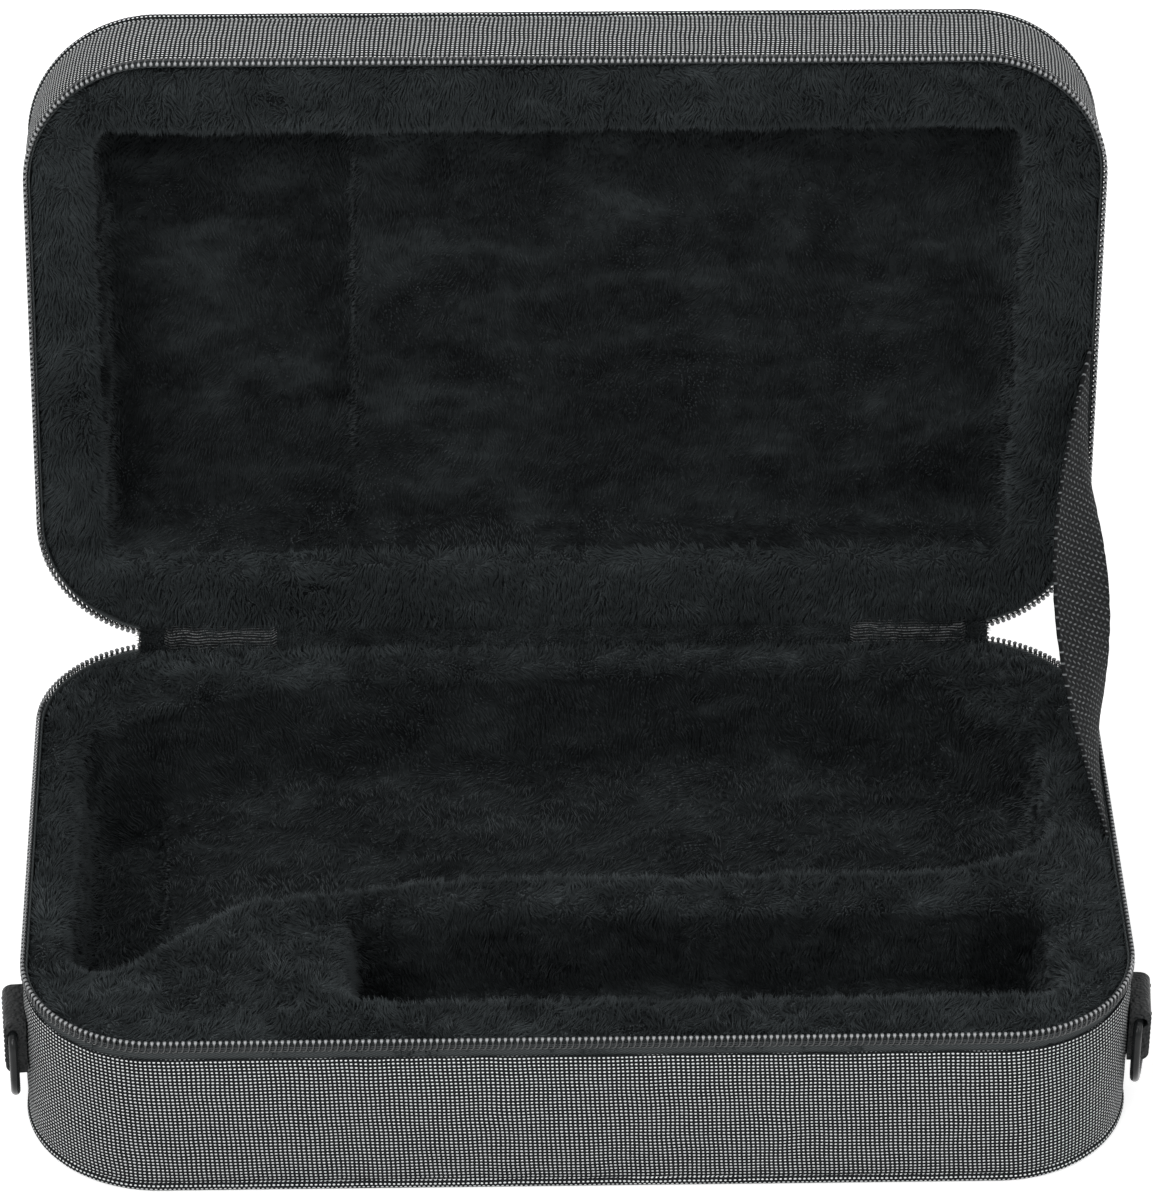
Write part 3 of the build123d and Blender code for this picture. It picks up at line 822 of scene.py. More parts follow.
class PlushSettings(bpy.types.PropertyGroup):
    """The plush linings."""

    backing_depth: a_length("Backing depth", "How far the backing lies under the packed lining", 0.0015)
    lip: a_length("Lip radius", "Radius of the pockets' upper edges", 0.0085)
    foot: a_length("Foot radius", "Radius where a pocket's wall meets its floor", 0.007)
    wall_run: a_length("Wall run", "How far a pocket's wall leans over its height", 0.003)
    grid: a_length("Grid", "Size of the backing's faces", 0.0026)
    pile_length: a_length("Pile length", "Length of a fibre", 0.0048)
    pile_width: a_length("Fibre width", "Half the width of a fibre at its root", 0.0004)
    fibres: IntProperty(
        name="Fibres", description="Fibres in each patch of pile", default=47500, min=100, max=49000
    )
    seed: IntProperty(name="Seed", description="Start of the pile's random places", default=3)
    sheen: a_share("Sheen", "Sheen of the pile", 0.15)
    sheen_colour: a_colour("Sheen colour", "Colour of the pile's sheen", (0.55, 0.62, 0.65))
    # The roots' colour, the dark end of the pile's tones, is partly painted shade between the fibres
    root_colour: a_colour("Roots", "Colour between the fibres", (0.004, 0.0045, 0.005))
    tip_colour: a_colour("Tips", "Colour of the palest fibres", (0.058, 0.068, 0.071))


class ZipSettings(bpy.types.PropertyGroup):
    """The zip."""

    pitch: a_length("Tooth pitch", "Distance between the coil's turns", 0.0025)
    strand: a_length("Strand radius", "Radius of the coil's strand", 0.00042)
    head: a_length("Head radius", "Half the width of a tooth's head", 0.00094)
    coil_colour: a_colour("Coil", "Colour of the nylon coil", (0.01, 0.012, 0.0125))
    coil_worn_colour: a_colour("Worn coil", "Colour where the coil is rubbed", (0.03, 0.033, 0.034))
    # The tooth heads' pale colour is a painted glint, standing in for highlights
    painted_glint_colour: a_colour("Painted head glints", "Colour painted on the heads as glints", (0.4, 0.41, 0.42))
    tape_colour: a_colour("Tape", "Colour of the zip tape", (0.02, 0.024, 0.025))
    tape_thread_colour: a_colour("Tape ribs", "Colour of the tape's ribs", (0.08, 0.09, 0.092))


class WebbingSettings(bpy.types.PropertyGroup):
    """The stay strap and the hinge bands."""

    tick_pitch: a_length("Tick pitch", "Distance between ticks in a row", 0.0033)
    line_pitch: a_length("Row pitch", "Distance between rows of ticks", 0.0025)
    bow_in: a_length("Bow in", "How far the strap's front edge hangs inward", 0.019)
    bow_out: a_length("Bow out", "How far its back edge stands outward", 0.009)
    tick_colour: a_colour("Ticks", "Colour of the brightest ticks", (0.19, 0.2, 0.205))
    dull_tick_colour: a_colour("Dull ticks", "Colour of the dullest ticks", (0.05, 0.054, 0.056))
    rib_pitch: a_length("Rib pitch", "Distance between the bands' ribs", 0.0015)
    rib_colour: a_colour("Ribs", "Colour of the bands' ribs", (0.26, 0.27, 0.275))
    web_colour: a_colour("Webbing", "Colour of the webbing", (0.003, 0.0035, 0.004))
    web_thread_colour: a_colour("Webbing threads", "Colour of its high threads", (0.009, 0.01, 0.0105))


class HardwareSettings(bpy.types.PropertyGroup):
    """The ring tabs, rings, sliders and pulls."""

    leatherette_colour: a_colour("Leatherette", "Colour of the tabs", (0.003, 0.0035, 0.004))
    leatherette_worn_colour: a_colour("Worn leatherette", "Colour of its grain", (0.012, 0.0135, 0.014))
    metal_colour: a_colour("Metal", "Colour of the black metal", (0.006, 0.007, 0.0075))
    metal_worn_colour: a_colour("Worn metal", "Colour where it is rubbed", (0.014, 0.0155, 0.016))
    ring_twist: FloatProperty(
        name="Ring's twist", description="How far the right ring is turned in its tab",
        default=radians(7), subtype="ANGLE",
    )


class StudioSettings(bpy.types.PropertyGroup):
    """The floor, the light and the camera."""

    floor_size: a_length("Floor size", "Side of the floor", 14.0)
    ambient: a_share("Ambient", "Strength of the light from all round", 0.5, 10.0)
    key: a_share("Key", "Power of the key lamp", 36.5, 1000.0)
    fill: a_share("Fill", "Power of the fill lamp", 17.0, 1000.0)
    top: a_share("Top", "Power of the top lamp", 7.0, 1000.0)
    spark: a_share("Spark", "Power of the small lamp", 7.0, 1000.0)


SETTINGS = {
    "case_cover": CoverSettings,
    "case_plush": PlushSettings,
    "case_zip": ZipSettings,
    "case_webbing": WebbingSettings,
    "case_hardware": HardwareSettings,
    "case_studio": StudioSettings,
}


def make_materials(scene):
    """All finishes, once."""
    if MATERIALS:
        return
    make_cover_fabric(scene.case_cover)
    make_foam(scene.case_cover)
    make_thread(scene.case_cover)
    make_plush(scene.case_plush)
    make_zip_tape(scene.case_zip)
    make_zip_coil(scene.case_zip)
    make_webbing(scene.case_webbing)
    make_ribbed_webbing(scene.case_webbing)
    make_leatherette(scene.case_hardware)
    make_metal(scene.case_hardware)


# Plush linings. Pockets are in millimetres; a box is its left, right, front, back and corner radius

INSTRUMENT_POINTS = [
    (-210, -84), (-188, -84), (-142, -42), (-50, -25.5), (160, -25.5), (203, -4),
    (203, 74), (160, 118), (60, 124), (-130, 116), (-210, 84),
]
INSTRUMENT_RADII = [8, 8, 30, 80, 40, 28, 28, 28, 60, 40, 30]
INSTRUMENT_FLOOR, END_FLOOR, ACCESSORY_FLOOR = 22, 7, 30
END_RIGHT = -172
ACCESSORY_BOX = (-95, 197, -107, -47, 8)
RECESS_BOX = (-200, 195, -104, 101, 7)
RECESS_STEP, RECESS_DEEP, RECESS_PAD = -88, 45, 30
RIM_GAP = 1.5 * MM
RIM_ROLL = 4.0 * MM
LINING_INSET = 3.0 * MM
FIELD_COLUMNS, FIELD_ROWS = 228, 138


def rounded_polygon(points, radii, steps=10):
    """The corner points of a polygon with rounded corners, in metres."""
    points = np.array(points, float) * MM
    line = []
    for i, radius in enumerate(radii):
        corner, before, after = points[i], points[i - 1], points[(i + 1) % len(points)]
        a = (before - corner) / np.linalg.norm(before - corner)
        b = (after - corner) / np.linalg.norm(after - corner)
        half = np.arccos(np.clip(a @ b, -1, 1)) / 2
        radius *= MM
        middle = corner + (a + b) / np.linalg.norm(a + b) * radius / np.sin(half)
        start = corner + a * radius / np.tan(half) - middle
        end = corner + b * radius / np.tan(half) - middle
        for t in np.linspace(0, 1, steps):
            way = start * (1 - t) + end * t
            line.append(middle + way / np.linalg.norm(way) * radius)
    return np.array(line)


def inside_polygon(places, line):
    """How far each place lies inside a closed line; negative outside."""
    best = np.full(len(places), np.inf)
    crossings = np.zeros(len(places), int)
    x, y = places.T
    for (ax, ay), (bx, by) in zip(line, np.roll(line, -1, 0)):
        dx, dy = bx - ax, by - ay
        t = np.clip(((x - ax) * dx + (y - ay) * dy) / (dx * dx + dy * dy), 0, 1)
        best = np.minimum(best, np.hypot(x - ax - t * dx, y - ay - t * dy))
        if ay != by:
            crossings += ((ay > y) != (by > y)) & (x < ax + (y - ay) / (by - ay) * (bx - ax))
    return np.where(crossings % 2 == 1, best, -best)


def inside_box(places, box):
    """How far each place lies inside a rounded rectangle; negative outside."""
    left, right, front, back, radius = (v * MM for v in box)
    x = np.abs(places[:, 0] - (left + right) / 2) - (right - left) / 2 + radius
    y = np.abs(places[:, 1] - (front + back) / 2) - (back - front) / 2 + radius
    outer = np.hypot(np.maximum(x, 0), np.maximum(y, 0)) + np.minimum(np.maximum(x, y), 0)
    return radius - outer


def inside_case(places):
    """How far each place lies inside the case's outline."""
    box = (-HALF_LENGTH / MM, HALF_LENGTH / MM, -HALF_DEPTH / MM, HALF_DEPTH / MM, CORNER / MM)
    return inside_box(places, box)


def fall(inside, depth, look):
    """How far the lining goes down at a distance inside a pocket's outline."""
    lip, foot, run = look.lip, look.foot, look.wall_run
    over = lip - np.sqrt(np.maximum(lip**2 - np.clip(inside + lip, 0, lip) ** 2, 0))
    wall = lip + (depth - lip - foot) * np.clip(inside / run, 0, 1)
    low = np.sqrt(np.maximum(foot**2 - (foot - np.clip(inside - run, 0, foot)) ** 2, 0))
    return np.where(inside <= 0, over, wall + low)


def lining_depth(half, places, look, under=0.0):
    """Depth behind the rim plane of the plush backing, or of what lies under it."""
    grown = look.backing_depth + under
    if half == "base":
        instrument = inside_polygon(places, rounded_polygon(INSTRUMENT_POINTS, INSTRUMENT_RADII))
        floors = [
            (instrument, INSTRUMENT_FLOOR),
            (np.minimum(instrument, END_RIGHT * MM - places[:, 0]), END_FLOOR),
            (inside_box(places, ACCESSORY_BOX), ACCESSORY_FLOOR),
        ]
        pockets = [(inside, HEIGHT["base"] - floor * MM) for inside, floor in floors]
    else:
        recess = inside_box(places, RECESS_BOX)
        deep = np.minimum(recess, RECESS_STEP * MM - places[:, 0])
        pockets = [(recess, RECESS_PAD * MM), (deep, RECESS_DEEP * MM)]
    falls = [fall(inside + grown, depth - RIM_GAP, look) for inside, depth in pockets]
    depth = RIM_GAP + grown + np.max(falls, axis=0)
    # The edge rolls down to the zip, but not along the hinge
    near = np.clip(RIM_ROLL - (inside_case(places) - LINING_INSET), 0, RIM_ROLL)
    roll = RIM_ROLL - np.sqrt(RIM_ROLL**2 - near**2)
    hinge = smooth(HALF_HINGE, HALF_HINGE - 12 * MM, np.abs(places[:, 0]))
    return depth + roll * (1 - hinge * (places[:, 1] > HALF_DEPTH - 30 * MM))


def to_outline(places, inset):
    """Moves places outside the case's inset outline onto it."""
    short = inset - inside_case(places)
    inner = np.array([HALF_LENGTH - CORNER, HALF_DEPTH - CORNER])
    from_corner = np.maximum(np.abs(places) - inner, 0)
    length = np.linalg.norm(from_corner, axis=1, keepdims=True)
    way = np.sign(places) * from_corner / np.maximum(length, 1e-9)
    return places - way * np.maximum(short, 0)[:, None]


def moulded(name, half, look, inset, under, grid):
    """A solid under one lining's face: a height field, remeshed evenly and softened."""
    xs = np.linspace(-HALF_LENGTH + inset, HALF_LENGTH - inset, FIELD_COLUMNS)
    ys = np.linspace(-HALF_DEPTH + inset, HALF_DEPTH - inset, FIELD_ROWS)
    plan = to_outline(np.stack(np.meshgrid(xs, ys, indexing="ij"), -1).reshape(-1, 2), inset)
    top = -lining_depth(half, plan, look, under)
    low = np.full(len(plan), -HEIGHT[half] + 0.5 * MM)
    count, rows = len(plan), FIELD_ROWS
    faces = []
    for c in range(FIELD_COLUMNS - 1):
        for r in range(rows - 1):
            quad = (c * rows + r, (c + 1) * rows + r, (c + 1) * rows + r + 1, c * rows + r + 1)
            faces += [quad, tuple(count + v for v in reversed(quad))]
    rim = (
        [c * rows for c in range(FIELD_COLUMNS)]
        + [(FIELD_COLUMNS - 1) * rows + r for r in range(1, rows)]
        + [c * rows + rows - 1 for c in range(FIELD_COLUMNS - 2, -1, -1)]
        + [r for r in range(rows - 2, 0, -1)]
    )
    faces += [(a, count + a, count + b, b) for a, b in zip(rim, rim[1:] + rim[:1])]
    points = np.concatenate([np.c_[plan, top], np.c_[plan, low]])
    piece = new_object(name, new_mesh(name, points, faces))
    add_modifier(piece, "Even faces", "REMESH", mode="VOXEL", voxel_size=grid)
    add_modifier(piece, "Soft edges", "SMOOTH", factor=0.5, iterations=5)
    return finished(piece)


def stand_up(piece, half):
    """Takes a piece from plan places and depths to its place in the row frame."""
    mesh = piece.data
    co = coordinates(mesh)
    set_coordinates(mesh, place(half, co[:, :2], -co[:, 2]))
    if half == "lid":
        mesh.flip_normals()
    mesh.shade_smooth()
    return piece


def plush_backing(half, look):
    """The backing cloth of one lining, with slow hollows and small lumps."""
    piece = moulded(f"{half}_plush", half, look, LINING_INSET, 0.0, look.grid)
    mesh = piece.data
    co = coordinates(mesh)
    normals = reading(mesh.vertices, "normal", 3, np.float32)
    lumps = np.array([1.1 * noise.noise(Vector(p) * 24) + 0.75 * noise.noise(Vector(p) * 78) for p in co])
    co = co + normals * (lumps * MM)[:, None]
    set_coordinates(mesh, co)
    at_edge = inside_case(co[:, :2]) < LINING_INSET + 1.4 * MM
    hidden = (-co[:, 2] > HEIGHT[half] - 2.5 * MM) | (at_edge & (-co[:, 2] > 10 * MM))

    def open_up(work):
        gone = [f for f in work.faces if all(hidden[v.index] for v in f.verts)]
        bmesh.ops.delete(work, geom=gone, context="FACES")

    reworked(mesh, open_up)
    return stand_up(piece, half)


def around(sides):
    """Cosines and sines of even steps round a circle."""
    return [(cos(2 * pi * k / sides), sin(2 * pi * k / sides)) for k in range(sides)]


def fibre_mesh():
    """One fibre: a three-sided spike with closed root, paler towards its tip."""
    points = [*((c, s, -0.06) for c, s in around(3)), (0, 0, 1)]
    mesh = new_mesh("Fibre", points, [(0, 1, 3), (1, 2, 3), (2, 0, 3), (0, 2, 1)])
    mark(mesh, "tip", [0, 0, 0, 1])
    mesh.shade_smooth()
    return mesh


def give_fibre_map(mesh):
    """A map with one small cell for each fibre."""
    side = int(np.ceil(np.sqrt(len(mesh.vertices) // 4)))
    spots = np.array([(0.1, 0.12), (0.9, 0.12), (0.5, 0.04), (0.5, 0.95)])
    corners = reading(mesh.loops, "vertex_index", 1, np.int32)[:, 0]
    cell = corners // 4
    add_uv(mesh, "OFBake", (np.stack([cell % side, cell // side], -1) + spots[corners % 4]) / side)


def grow_pile(cloth, name, keep, look, nap, length=1.0, tuft=1.0, swirl=0.6, share=1.0, painted_light_and_shade=0.0):
    """Pile on the faces of cloth that keep picks by their centres and normals, as one piece."""

    def trim(work):
        """Deletes the other faces, and gives the area of those that stay."""
        centres = np.array([f.calc_center_median() for f in work.faces])
        kept = keep(centres, np.array([f.normal for f in work.faces]))
        gone = [f for f, stays in zip(work.faces, kept) if not stays]
        bmesh.ops.delete(work, geom=gone, context="FACES")
        return sum(f.calc_area() for f in work.faces)

    source = cloth.data.copy()
    area = reworked(source, trim)
    carrier = new_object(name + "_carrier", source)
    fibre = new_object("fibre", fibre_mesh())
    # A patch's fibres are made paler or darker here as painted light and shade
    values = {
        "Fibre": fibre, "Density": look.fibres * share / area, "Seed": look.seed,
        "Length": look.pile_length * length, "Width": look.pile_width, "Nap": nap,
        "Swirl": swirl, "Swirl size": 0.045, "Tuft": tuft, "Tuft size": 0.008,
        "Spread": 0.18, "Painted light and shade": painted_light_and_shade, "Material": MATERIALS["Plush pile"],
    }
    pile = run_tree(shared(pile_tree), carrier, values, name)
    bpy.data.objects.remove(fibre)
    give_fibre_map(pile.data)
    return pile


# Zip

COIL_TOP, COIL_HEIGHT, COIL_THICKNESS = 0.3 * MM, 5.7 * MM, 2.3 * MM


def tooth_mesh(look, height):
    """One turn of the coil: X along the tape, Y away from it, Z to the tooth's head."""
    pitch, strand, t, head = look.pitch, look.strand, COIL_THICKNESS, look.head / look.strand
    # Each place has its X, Y and Z, and how much wider and deeper than the strand it is
    line = np.array([
        (0.0, strand, strand, 1, 1),
        (0.0, strand, 0.38 * height, 1, 1),
        (0.0, strand * 1.05, 0.7 * height, 1.1, 1),
        (0.0, 0.27 * t, 0.9 * height, head * 0.85, 1.05),
        (0.0, 0.5 * t, height - strand * 1.15, head, 1.15),
        (0.0, 0.76 * t, 0.9 * height, head * 0.85, 1.05),
        (0.0, t - strand, 0.7 * height, 1.1, 1),
        (0.03 * pitch, t - strand, 0.4 * height, 1, 1),
        (0.2 * pitch, t - strand, 0.15 * height, 1, 1),
        (0.52 * pitch, t - 1.6 * strand, strand * 0.9, 1, 1),
        (0.84 * pitch, 0.48 * t, strand * 0.85, 1, 1),
        (pitch, strand, strand, 1, 1),
    ])
    centres = line[:, :3]
    sections = []
    for centre, (wide, deep), way in zip(centres, line[:, 3:], unit(np.gradient(centres, axis=0))):
        across = unit(np.array([1.0, 0, 0]) - way * way[0])
        other = np.cross(way, across)
        sections.append([centre + strand * (wide * c * across + deep * s * other) for c, s in around(6)])
    sections = np.array(sections)
    mesh = tube("Tooth", sections)
    # A painted glint just below the crown, marked for the coil's material to colour pale
    high = sections[..., 2]
    painted_glint = np.zeros_like(high)
    painted_glint[4] = 0.4 * (high[4] > centres[4, 2])
    painted_glint[5] = high[5] > centres[5, 2]
    mark(mesh, "head", painted_glint)
    return mesh


def stitch_mesh(length, radius):
    """One stitch: a short thread that dips at both ends, lying along X with Z up."""
    dips = [(-0.5, 0.15, 0.5), (-0.3, 0.75, 1.0), (0.0, 1.0, 1.0), (0.3, 0.75, 1.0), (0.5, 0.15, 0.5)]
    return tube("Stitch", np.array([
        [(x * length, r * radius * c, radius * (z - 0.4) + r * radius * s) for c, s in around(5)]
        for x, z, r in dips
    ]))


def repeat_along(name, line, item_mesh, count, up, material):
    """An item repeated along a line of points, as one plain mesh."""
    edges = [(i, i + 1) for i in range(len(line) - 1)]
    source = new_object(name + "_line", new_mesh(name + "_line", line, [], edges))
    item = new_object("item", item_mesh)
    values = {"Item": item, "Count": count, "Up": up, "Material": MATERIALS[material]}
    piece = run_tree(shared(line_tree), source, values, name)
    bpy.data.objects.remove(item)
    return piece


def zip_lengths(half, inset, depth, shorten=0.0):
    """Points of a line that follows the zip, in the sense that puts +Y outward on an item."""
    lengths = np.arange(HINGE_END + shorten, ROUND - HINGE_END - shorten, 1 * MM)
    points = wall_point(half, lengths, inset, depth)
    outward = wall_point(half, lengths[0], -1.0, depth) - points[0]
    if np.cross(facing(half), points[1] - points[0]) @ outward < 0:
        points = points[::-1]
    return points


# Operators


class BuildPiece(bpy.types.Operator):
    """Makes one piece, or a group of like pieces, of the case."""

    bl_idname = "softcase.piece"
    bl_label = "Piece"
    bl_options = {"REGISTER", "UNDO"}

    def execute(self, context):
        make_materials(context.scene)
        self.build(context.scene)
        return {"FINISHED"}


class FoamShells(BuildPiece):
    """The two foam shells and the pad in the lid, which the linings and covers hide."""

    bl_idname = "softcase.foam_shells"
    bl_label = "Foam shells"

    def build(self, scene):
        look = scene.case_plush
        for half in HALVES:
            piece = moulded(f"{half}_foam_core", half, look, LINING_INSET + 1.0 * MM, 2.4 * MM, 4 * MM)
            piece.data.materials.append(MATERIALS["Foam"])
            stand_up(piece, half)
            settle(piece, half, "foam", f"{half}_foam")
        pad = cad_copy("lid_pad", "lid_foam_pad", MATERIALS["Foam"], 6 * MM, 4, 50)
        settle(pad, "lid", "foam", "lid_pad")


class PlushLinings(BuildPiece):
    """The plush linings: a backing cloth and patches of pile on it."""

    bl_idname = "softcase.plush_linings"
    bl_label = "Plush linings"
    # How much paler or darker than the rest each patch of pile is painted: painted light on the rims,
    # painted shade in the pockets, the front pocket and the lid's recess
    patches = {
        "base": {"rim": 1.0, "pocket": -0.4, "front": -0.7},
        "lid": {"rim": 2.6, "recess": -0.9},
    }
    flat_size = {"base": (0.62, 0.42), "lid": (0.54, 0.35)}
    nap = {"base": (0.25, 0.3, -0.85), "lid": (-0.15, 0.15, -0.85)}
    base_rim_nap = (0.2, 0.15, -0.3)
    deep_from, front_to, front_from_left = 10 * MM + RIM_GAP, -36 * MM, -100 * MM
    bare_edge = 0.9 * MM

    def patch_of(self, half, patch):
        """Picks the faces of one patch. No pile grows on the lining's own edge."""

        def keep(centres, _):
            plan, depth = plan_of(half, centres)
            front = (plan[:, 1] < self.front_to) & (plan[:, 0] > self.front_from_left)
            deep = depth > self.deep_from
            faces = {"rim": ~deep, "recess": deep, "pocket": deep & ~front, "front": deep & front}
            return faces[patch] & (inside_case(plan) > LINING_INSET + self.bare_edge)

        return keep

    def build(self, scene):
        look = scene.case_plush
        for half in HALVES:
            cloth = plush_backing(half, look)
            rows = []
            for patch, painted_light_and_shade in self.patches[half].items():
                name, keep = f"{half}_pile_{patch}", self.patch_of(half, patch)
                nap = self.base_rim_nap if name == "base_pile_rim" else self.nap[half]
                pressed = {"length": 0.8, "tuft": 0.7, "swirl": 0.9} if patch == "recess" else {}
                rows.append(grow_pile(cloth, name, keep, look, nap, painted_light_and_shade=painted_light_and_shade, **pressed))
            cloth.data.materials.append(MATERIALS["Plush backing"])
            add_modifier(cloth, "Cloth thickness", "SOLIDIFY", thickness=0.8 * MM, offset=-1.0)
            finished(cloth)
            for piece in rows:
                settle(piece, half, "plush")
            settle(cloth, half, "plush", f"{half}_lining")


def wrapped(name, half, look, lengths, rows):
    """Cover fabric round one half. Rows are insets and depths, and whole dots go round the case."""
    points = np.stack([wall_point(half, lengths[:-1], inset, depth) for inset, depth in rows], 1)
    whole = round(ROUND / look.dot_pitch) * look.dot_pitch
    uv = section_uv(points, lengths * whole / ROUND)
    return swept(name, points, uv, MATERIALS["Cover fabric"], loop=True)


class SideCovers(BuildPiece):
    """The dotted fabric round each half, folded at its hem and tucked under at the piping."""

    bl_idname = "softcase.side_covers"
    bl_label = "Side covers"
    columns = 300

    def build(self, scene):
        look = scene.case_cover
        inner = FABRIC_INSET + FABRIC
        along = np.linspace(0, ROUND, self.columns + 1)
        lengths = along[:-1]
        places, _ = ring_at(lengths)
        x, y = np.abs(places[:, 0]), places[:, 1]
        at_hinge = (y > 0) * smooth(HALF_HINGE + 2 * MM, HALF_HINGE - 2 * MM, x)
        ends = np.minimum(smooth(0, 0.06, HALF_LENGTH - CORNER + 0.03 - x), 1)
        straight = ends + smooth(0, 0.05, HALF_DEPTH - CORNER + 0.02 - np.abs(y))
        belly = look.slack * (0.6 + 0.5 * np.clip(straight, 0, 1))
        for half in HALVES:
            hem = HEM[half]
            top = hem + (SPINE_LEG - hem - 0.6 * MM) * at_hinge
            top = top + 0.2 * MM * ripple(lengths, 0, 0.03, 5) * (1 - at_hinge)
            low = HEIGHT[half] - 2 * PIPING_RADIUS
            rows = []
            for v in np.linspace(0, 1, 15):
                out = belly * np.sin(pi * v) ** 0.7 - 0.25 * MM * np.exp(-((v / 0.07) ** 2))
                out = out + 0.28 * MM * ripple(lengths, v * low, 0.055, 11) * np.sin(pi * v) ** 0.5
                out = out + 0.14 * MM * ripple(lengths, v * low, 0.012, 12) * np.exp(-v / 0.16)
                rows.append((FABRIC_INSET - out, top + (low - top) * v))
            rows += [
                (FABRIC_INSET + 0.35 * MM, low + 0.5 * MM),
                (inner, low + 0.3 * MM),
                (inner, low * 0.5 + 5 * MM),
                (inner, top + 0.4 * MM),
                (FABRIC_INSET + 0.75 * FABRIC, top - 0.15 * MM),
                (FABRIC_INSET + 0.3 * FABRIC, top - 0.2 * MM),
            ]
            piece = wrapped(f"{half}_side_cover", half, look, along, rows)
            settle(piece, half, "cover_fabric", f"{half}_side_skin")


class OuterPanels(BuildPiece):
    """The flat panels: the case's bottom and the outside of the lid."""

    bl_idname = "softcase.outer_panels"
    bl_label = "Outer panels"
    columns = 240
    past_cad = 0.4 * MM

    def build(self, scene):
        inset = HALF_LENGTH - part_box("base_bottom_skin")[1].x - self.past_cad
        places, ways = ring_at(np.linspace(0, ROUND, self.columns + 1)[:-1])
        edge = places - inset * ways
        spine = HALF_LENGTH - HALF_DEPTH
        middle = np.stack([np.clip(edge[:, 0], -spine, spine), 0 * edge[:, 1]], -1)
        shares = np.concatenate([[0, 0.012, 0.03, 0.07], np.linspace(0.14, 1, 11)])
        size = (2 * (HALF_LENGTH - inset), 2 * (HALF_DEPTH - inset))
        area = size[0] * size[1] - (4 - pi) * (CORNER - inset) ** 2
        for half, node, name, crown in (
            ("base", "base_bottom_skin", "base_bottom_panel", 0.0),
            ("lid", "lid_top_skin", "lid_outer_panel", scene.case_cover.panel_crown),
        ):
            rows = []
            for t in shares[::-1]:
                plan = edge * (1 - t) + middle * t
                dome = crown * (1 - (1 - t) ** 3) - 0.5 * MM * np.exp(-t / 0.01)
                lump = 0.12 * MM * ripple(plan[:, 0], plan[:, 1], 0.09, 21) * smooth(0, 0.2, t)
                rows.append((plan, HEIGHT[half] + dome + (lump if crown else -abs(lump))))
            for t in shares:
                rows.append((edge * (1 - t) + middle * t, HEIGHT[half] - FABRIC))
            points = np.stack([place(half, plan, depth) for plan, depth in rows], 1)
            uv = once_more(np.stack([plan for plan, _ in rows], 1))
            piece = swept(name, points, uv, MATERIALS["Cover fabric"], loop=True, merge=True)
            settle(piece, half, "cover_fabric", node)


class Piping(BuildPiece):
    """The covered cord in the seam round each outer panel."""

    bl_idname = "softcase.piping"
    bl_label = "Piping"
    columns, sides = 420, 14

    def build(self, scene):
        along = np.linspace(0, ROUND, self.columns + 1)
        for half in HALVES:
            rows = []
            for k in range(self.sides):
                a = 2 * pi * k / self.sides
                radius = PIPING_RADIUS * (1 + 0.022 * ripple(along[:-1], a * 0.004, 0.013, 31))
                inset = PIPING_RADIUS - radius * cos(a)
                rows.append((inset, HEIGHT[half] - PIPING_RADIUS - radius * sin(a)))
            piece = wrapped(f"{half}_seam_piping", half, scene.case_cover, along, rows)
            settle(piece, half, "cover_fabric", f"{half}_piping")


class ZipTapes(BuildPiece):
    """The woven tape behind the teeth of each half, with its thicker upper edge."""

    bl_idname = "softcase.zip_tapes"
    bl_label = "Zip tapes"
    # Insets and depths of the tape's section, in millimetres
    section = (
        (2.25, 18.0), (2.2, 12.0), (2.2, 8.0), (2.2, 5.0), (2.25, 3.4), (2.15, 2.9), (2.15, 2.5),
        (2.35, 2.25), (2.7, 2.2), (2.95, 2.45), (3.0, 2.9), (2.95, 3.6), (2.95, 8.0), (2.95, 18.0),
    )

    def build(self, scene):
        lengths = np.linspace(HINGE_END, ROUND - HINGE_END, 420)
        wave = 0.12 * MM * ripple(lengths, 0, 0.02, 41)
        for half in HALVES:
            rows = [wall_point(half, lengths, i * MM, d * MM + wave) for i, d in self.section]
            piece = swept_strip(f"{half}_tape", np.stack(rows, 1), lengths, "Zip tape")
            settle(piece, half, "zip_tape", f"{half}_zip_tape")
            flat = (round(float(ROUND - 2 * HINGE_END), 3), 0.0175)


class ZipCoils(BuildPiece):
    """The nylon coil on each tape, turn by turn, and the thread that sews it down."""

    bl_idname = "softcase.zip_coils"
    bl_label = "Zip coils"
    thread_insets_and_depths = ((0.3 * MM, 3.6 * MM), (0.35 * MM, 4.6 * MM))

    def build(self, scene):
        look = scene.case_zip
        for half in HALVES:
            up = facing(half)
            line = zip_lengths(half, TAPE_INSET, COIL_TOP + COIL_HEIGHT)
            count = round(running(line)[-1] / look.pitch)
            tooth = tooth_mesh(look, COIL_HEIGHT)
            coil = repeat_along(f"{half}_coil", line, tooth, count, up, "Zip coil")
            coil.data.shade_smooth()
            settle(coil, half, "zip_coil", f"{half}_zip_teeth")
            for row, (inset, depth) in enumerate(self.thread_insets_and_depths):
                sewn = zip_lengths(half, inset, depth, 1 * MM)
                stitch = stitch_mesh(look.pitch * 1.1, 0.2 * MM)
                name = f"{half}_coil_thread_{row + 1}"
                settle(repeat_along(name, sewn, stitch, count, up, "Sewing thread"), half, "zip_coil")


def spine_point(across, out):
    """YZ of a place in the open lid's end plane, in millimetres from the hinge."""
    y = HINGE_Y + (-OPEN_Z * across + OPEN_Y * out) * MM
    return y, HINGE_Z + (OPEN_Y * across + OPEN_Z * out) * MM


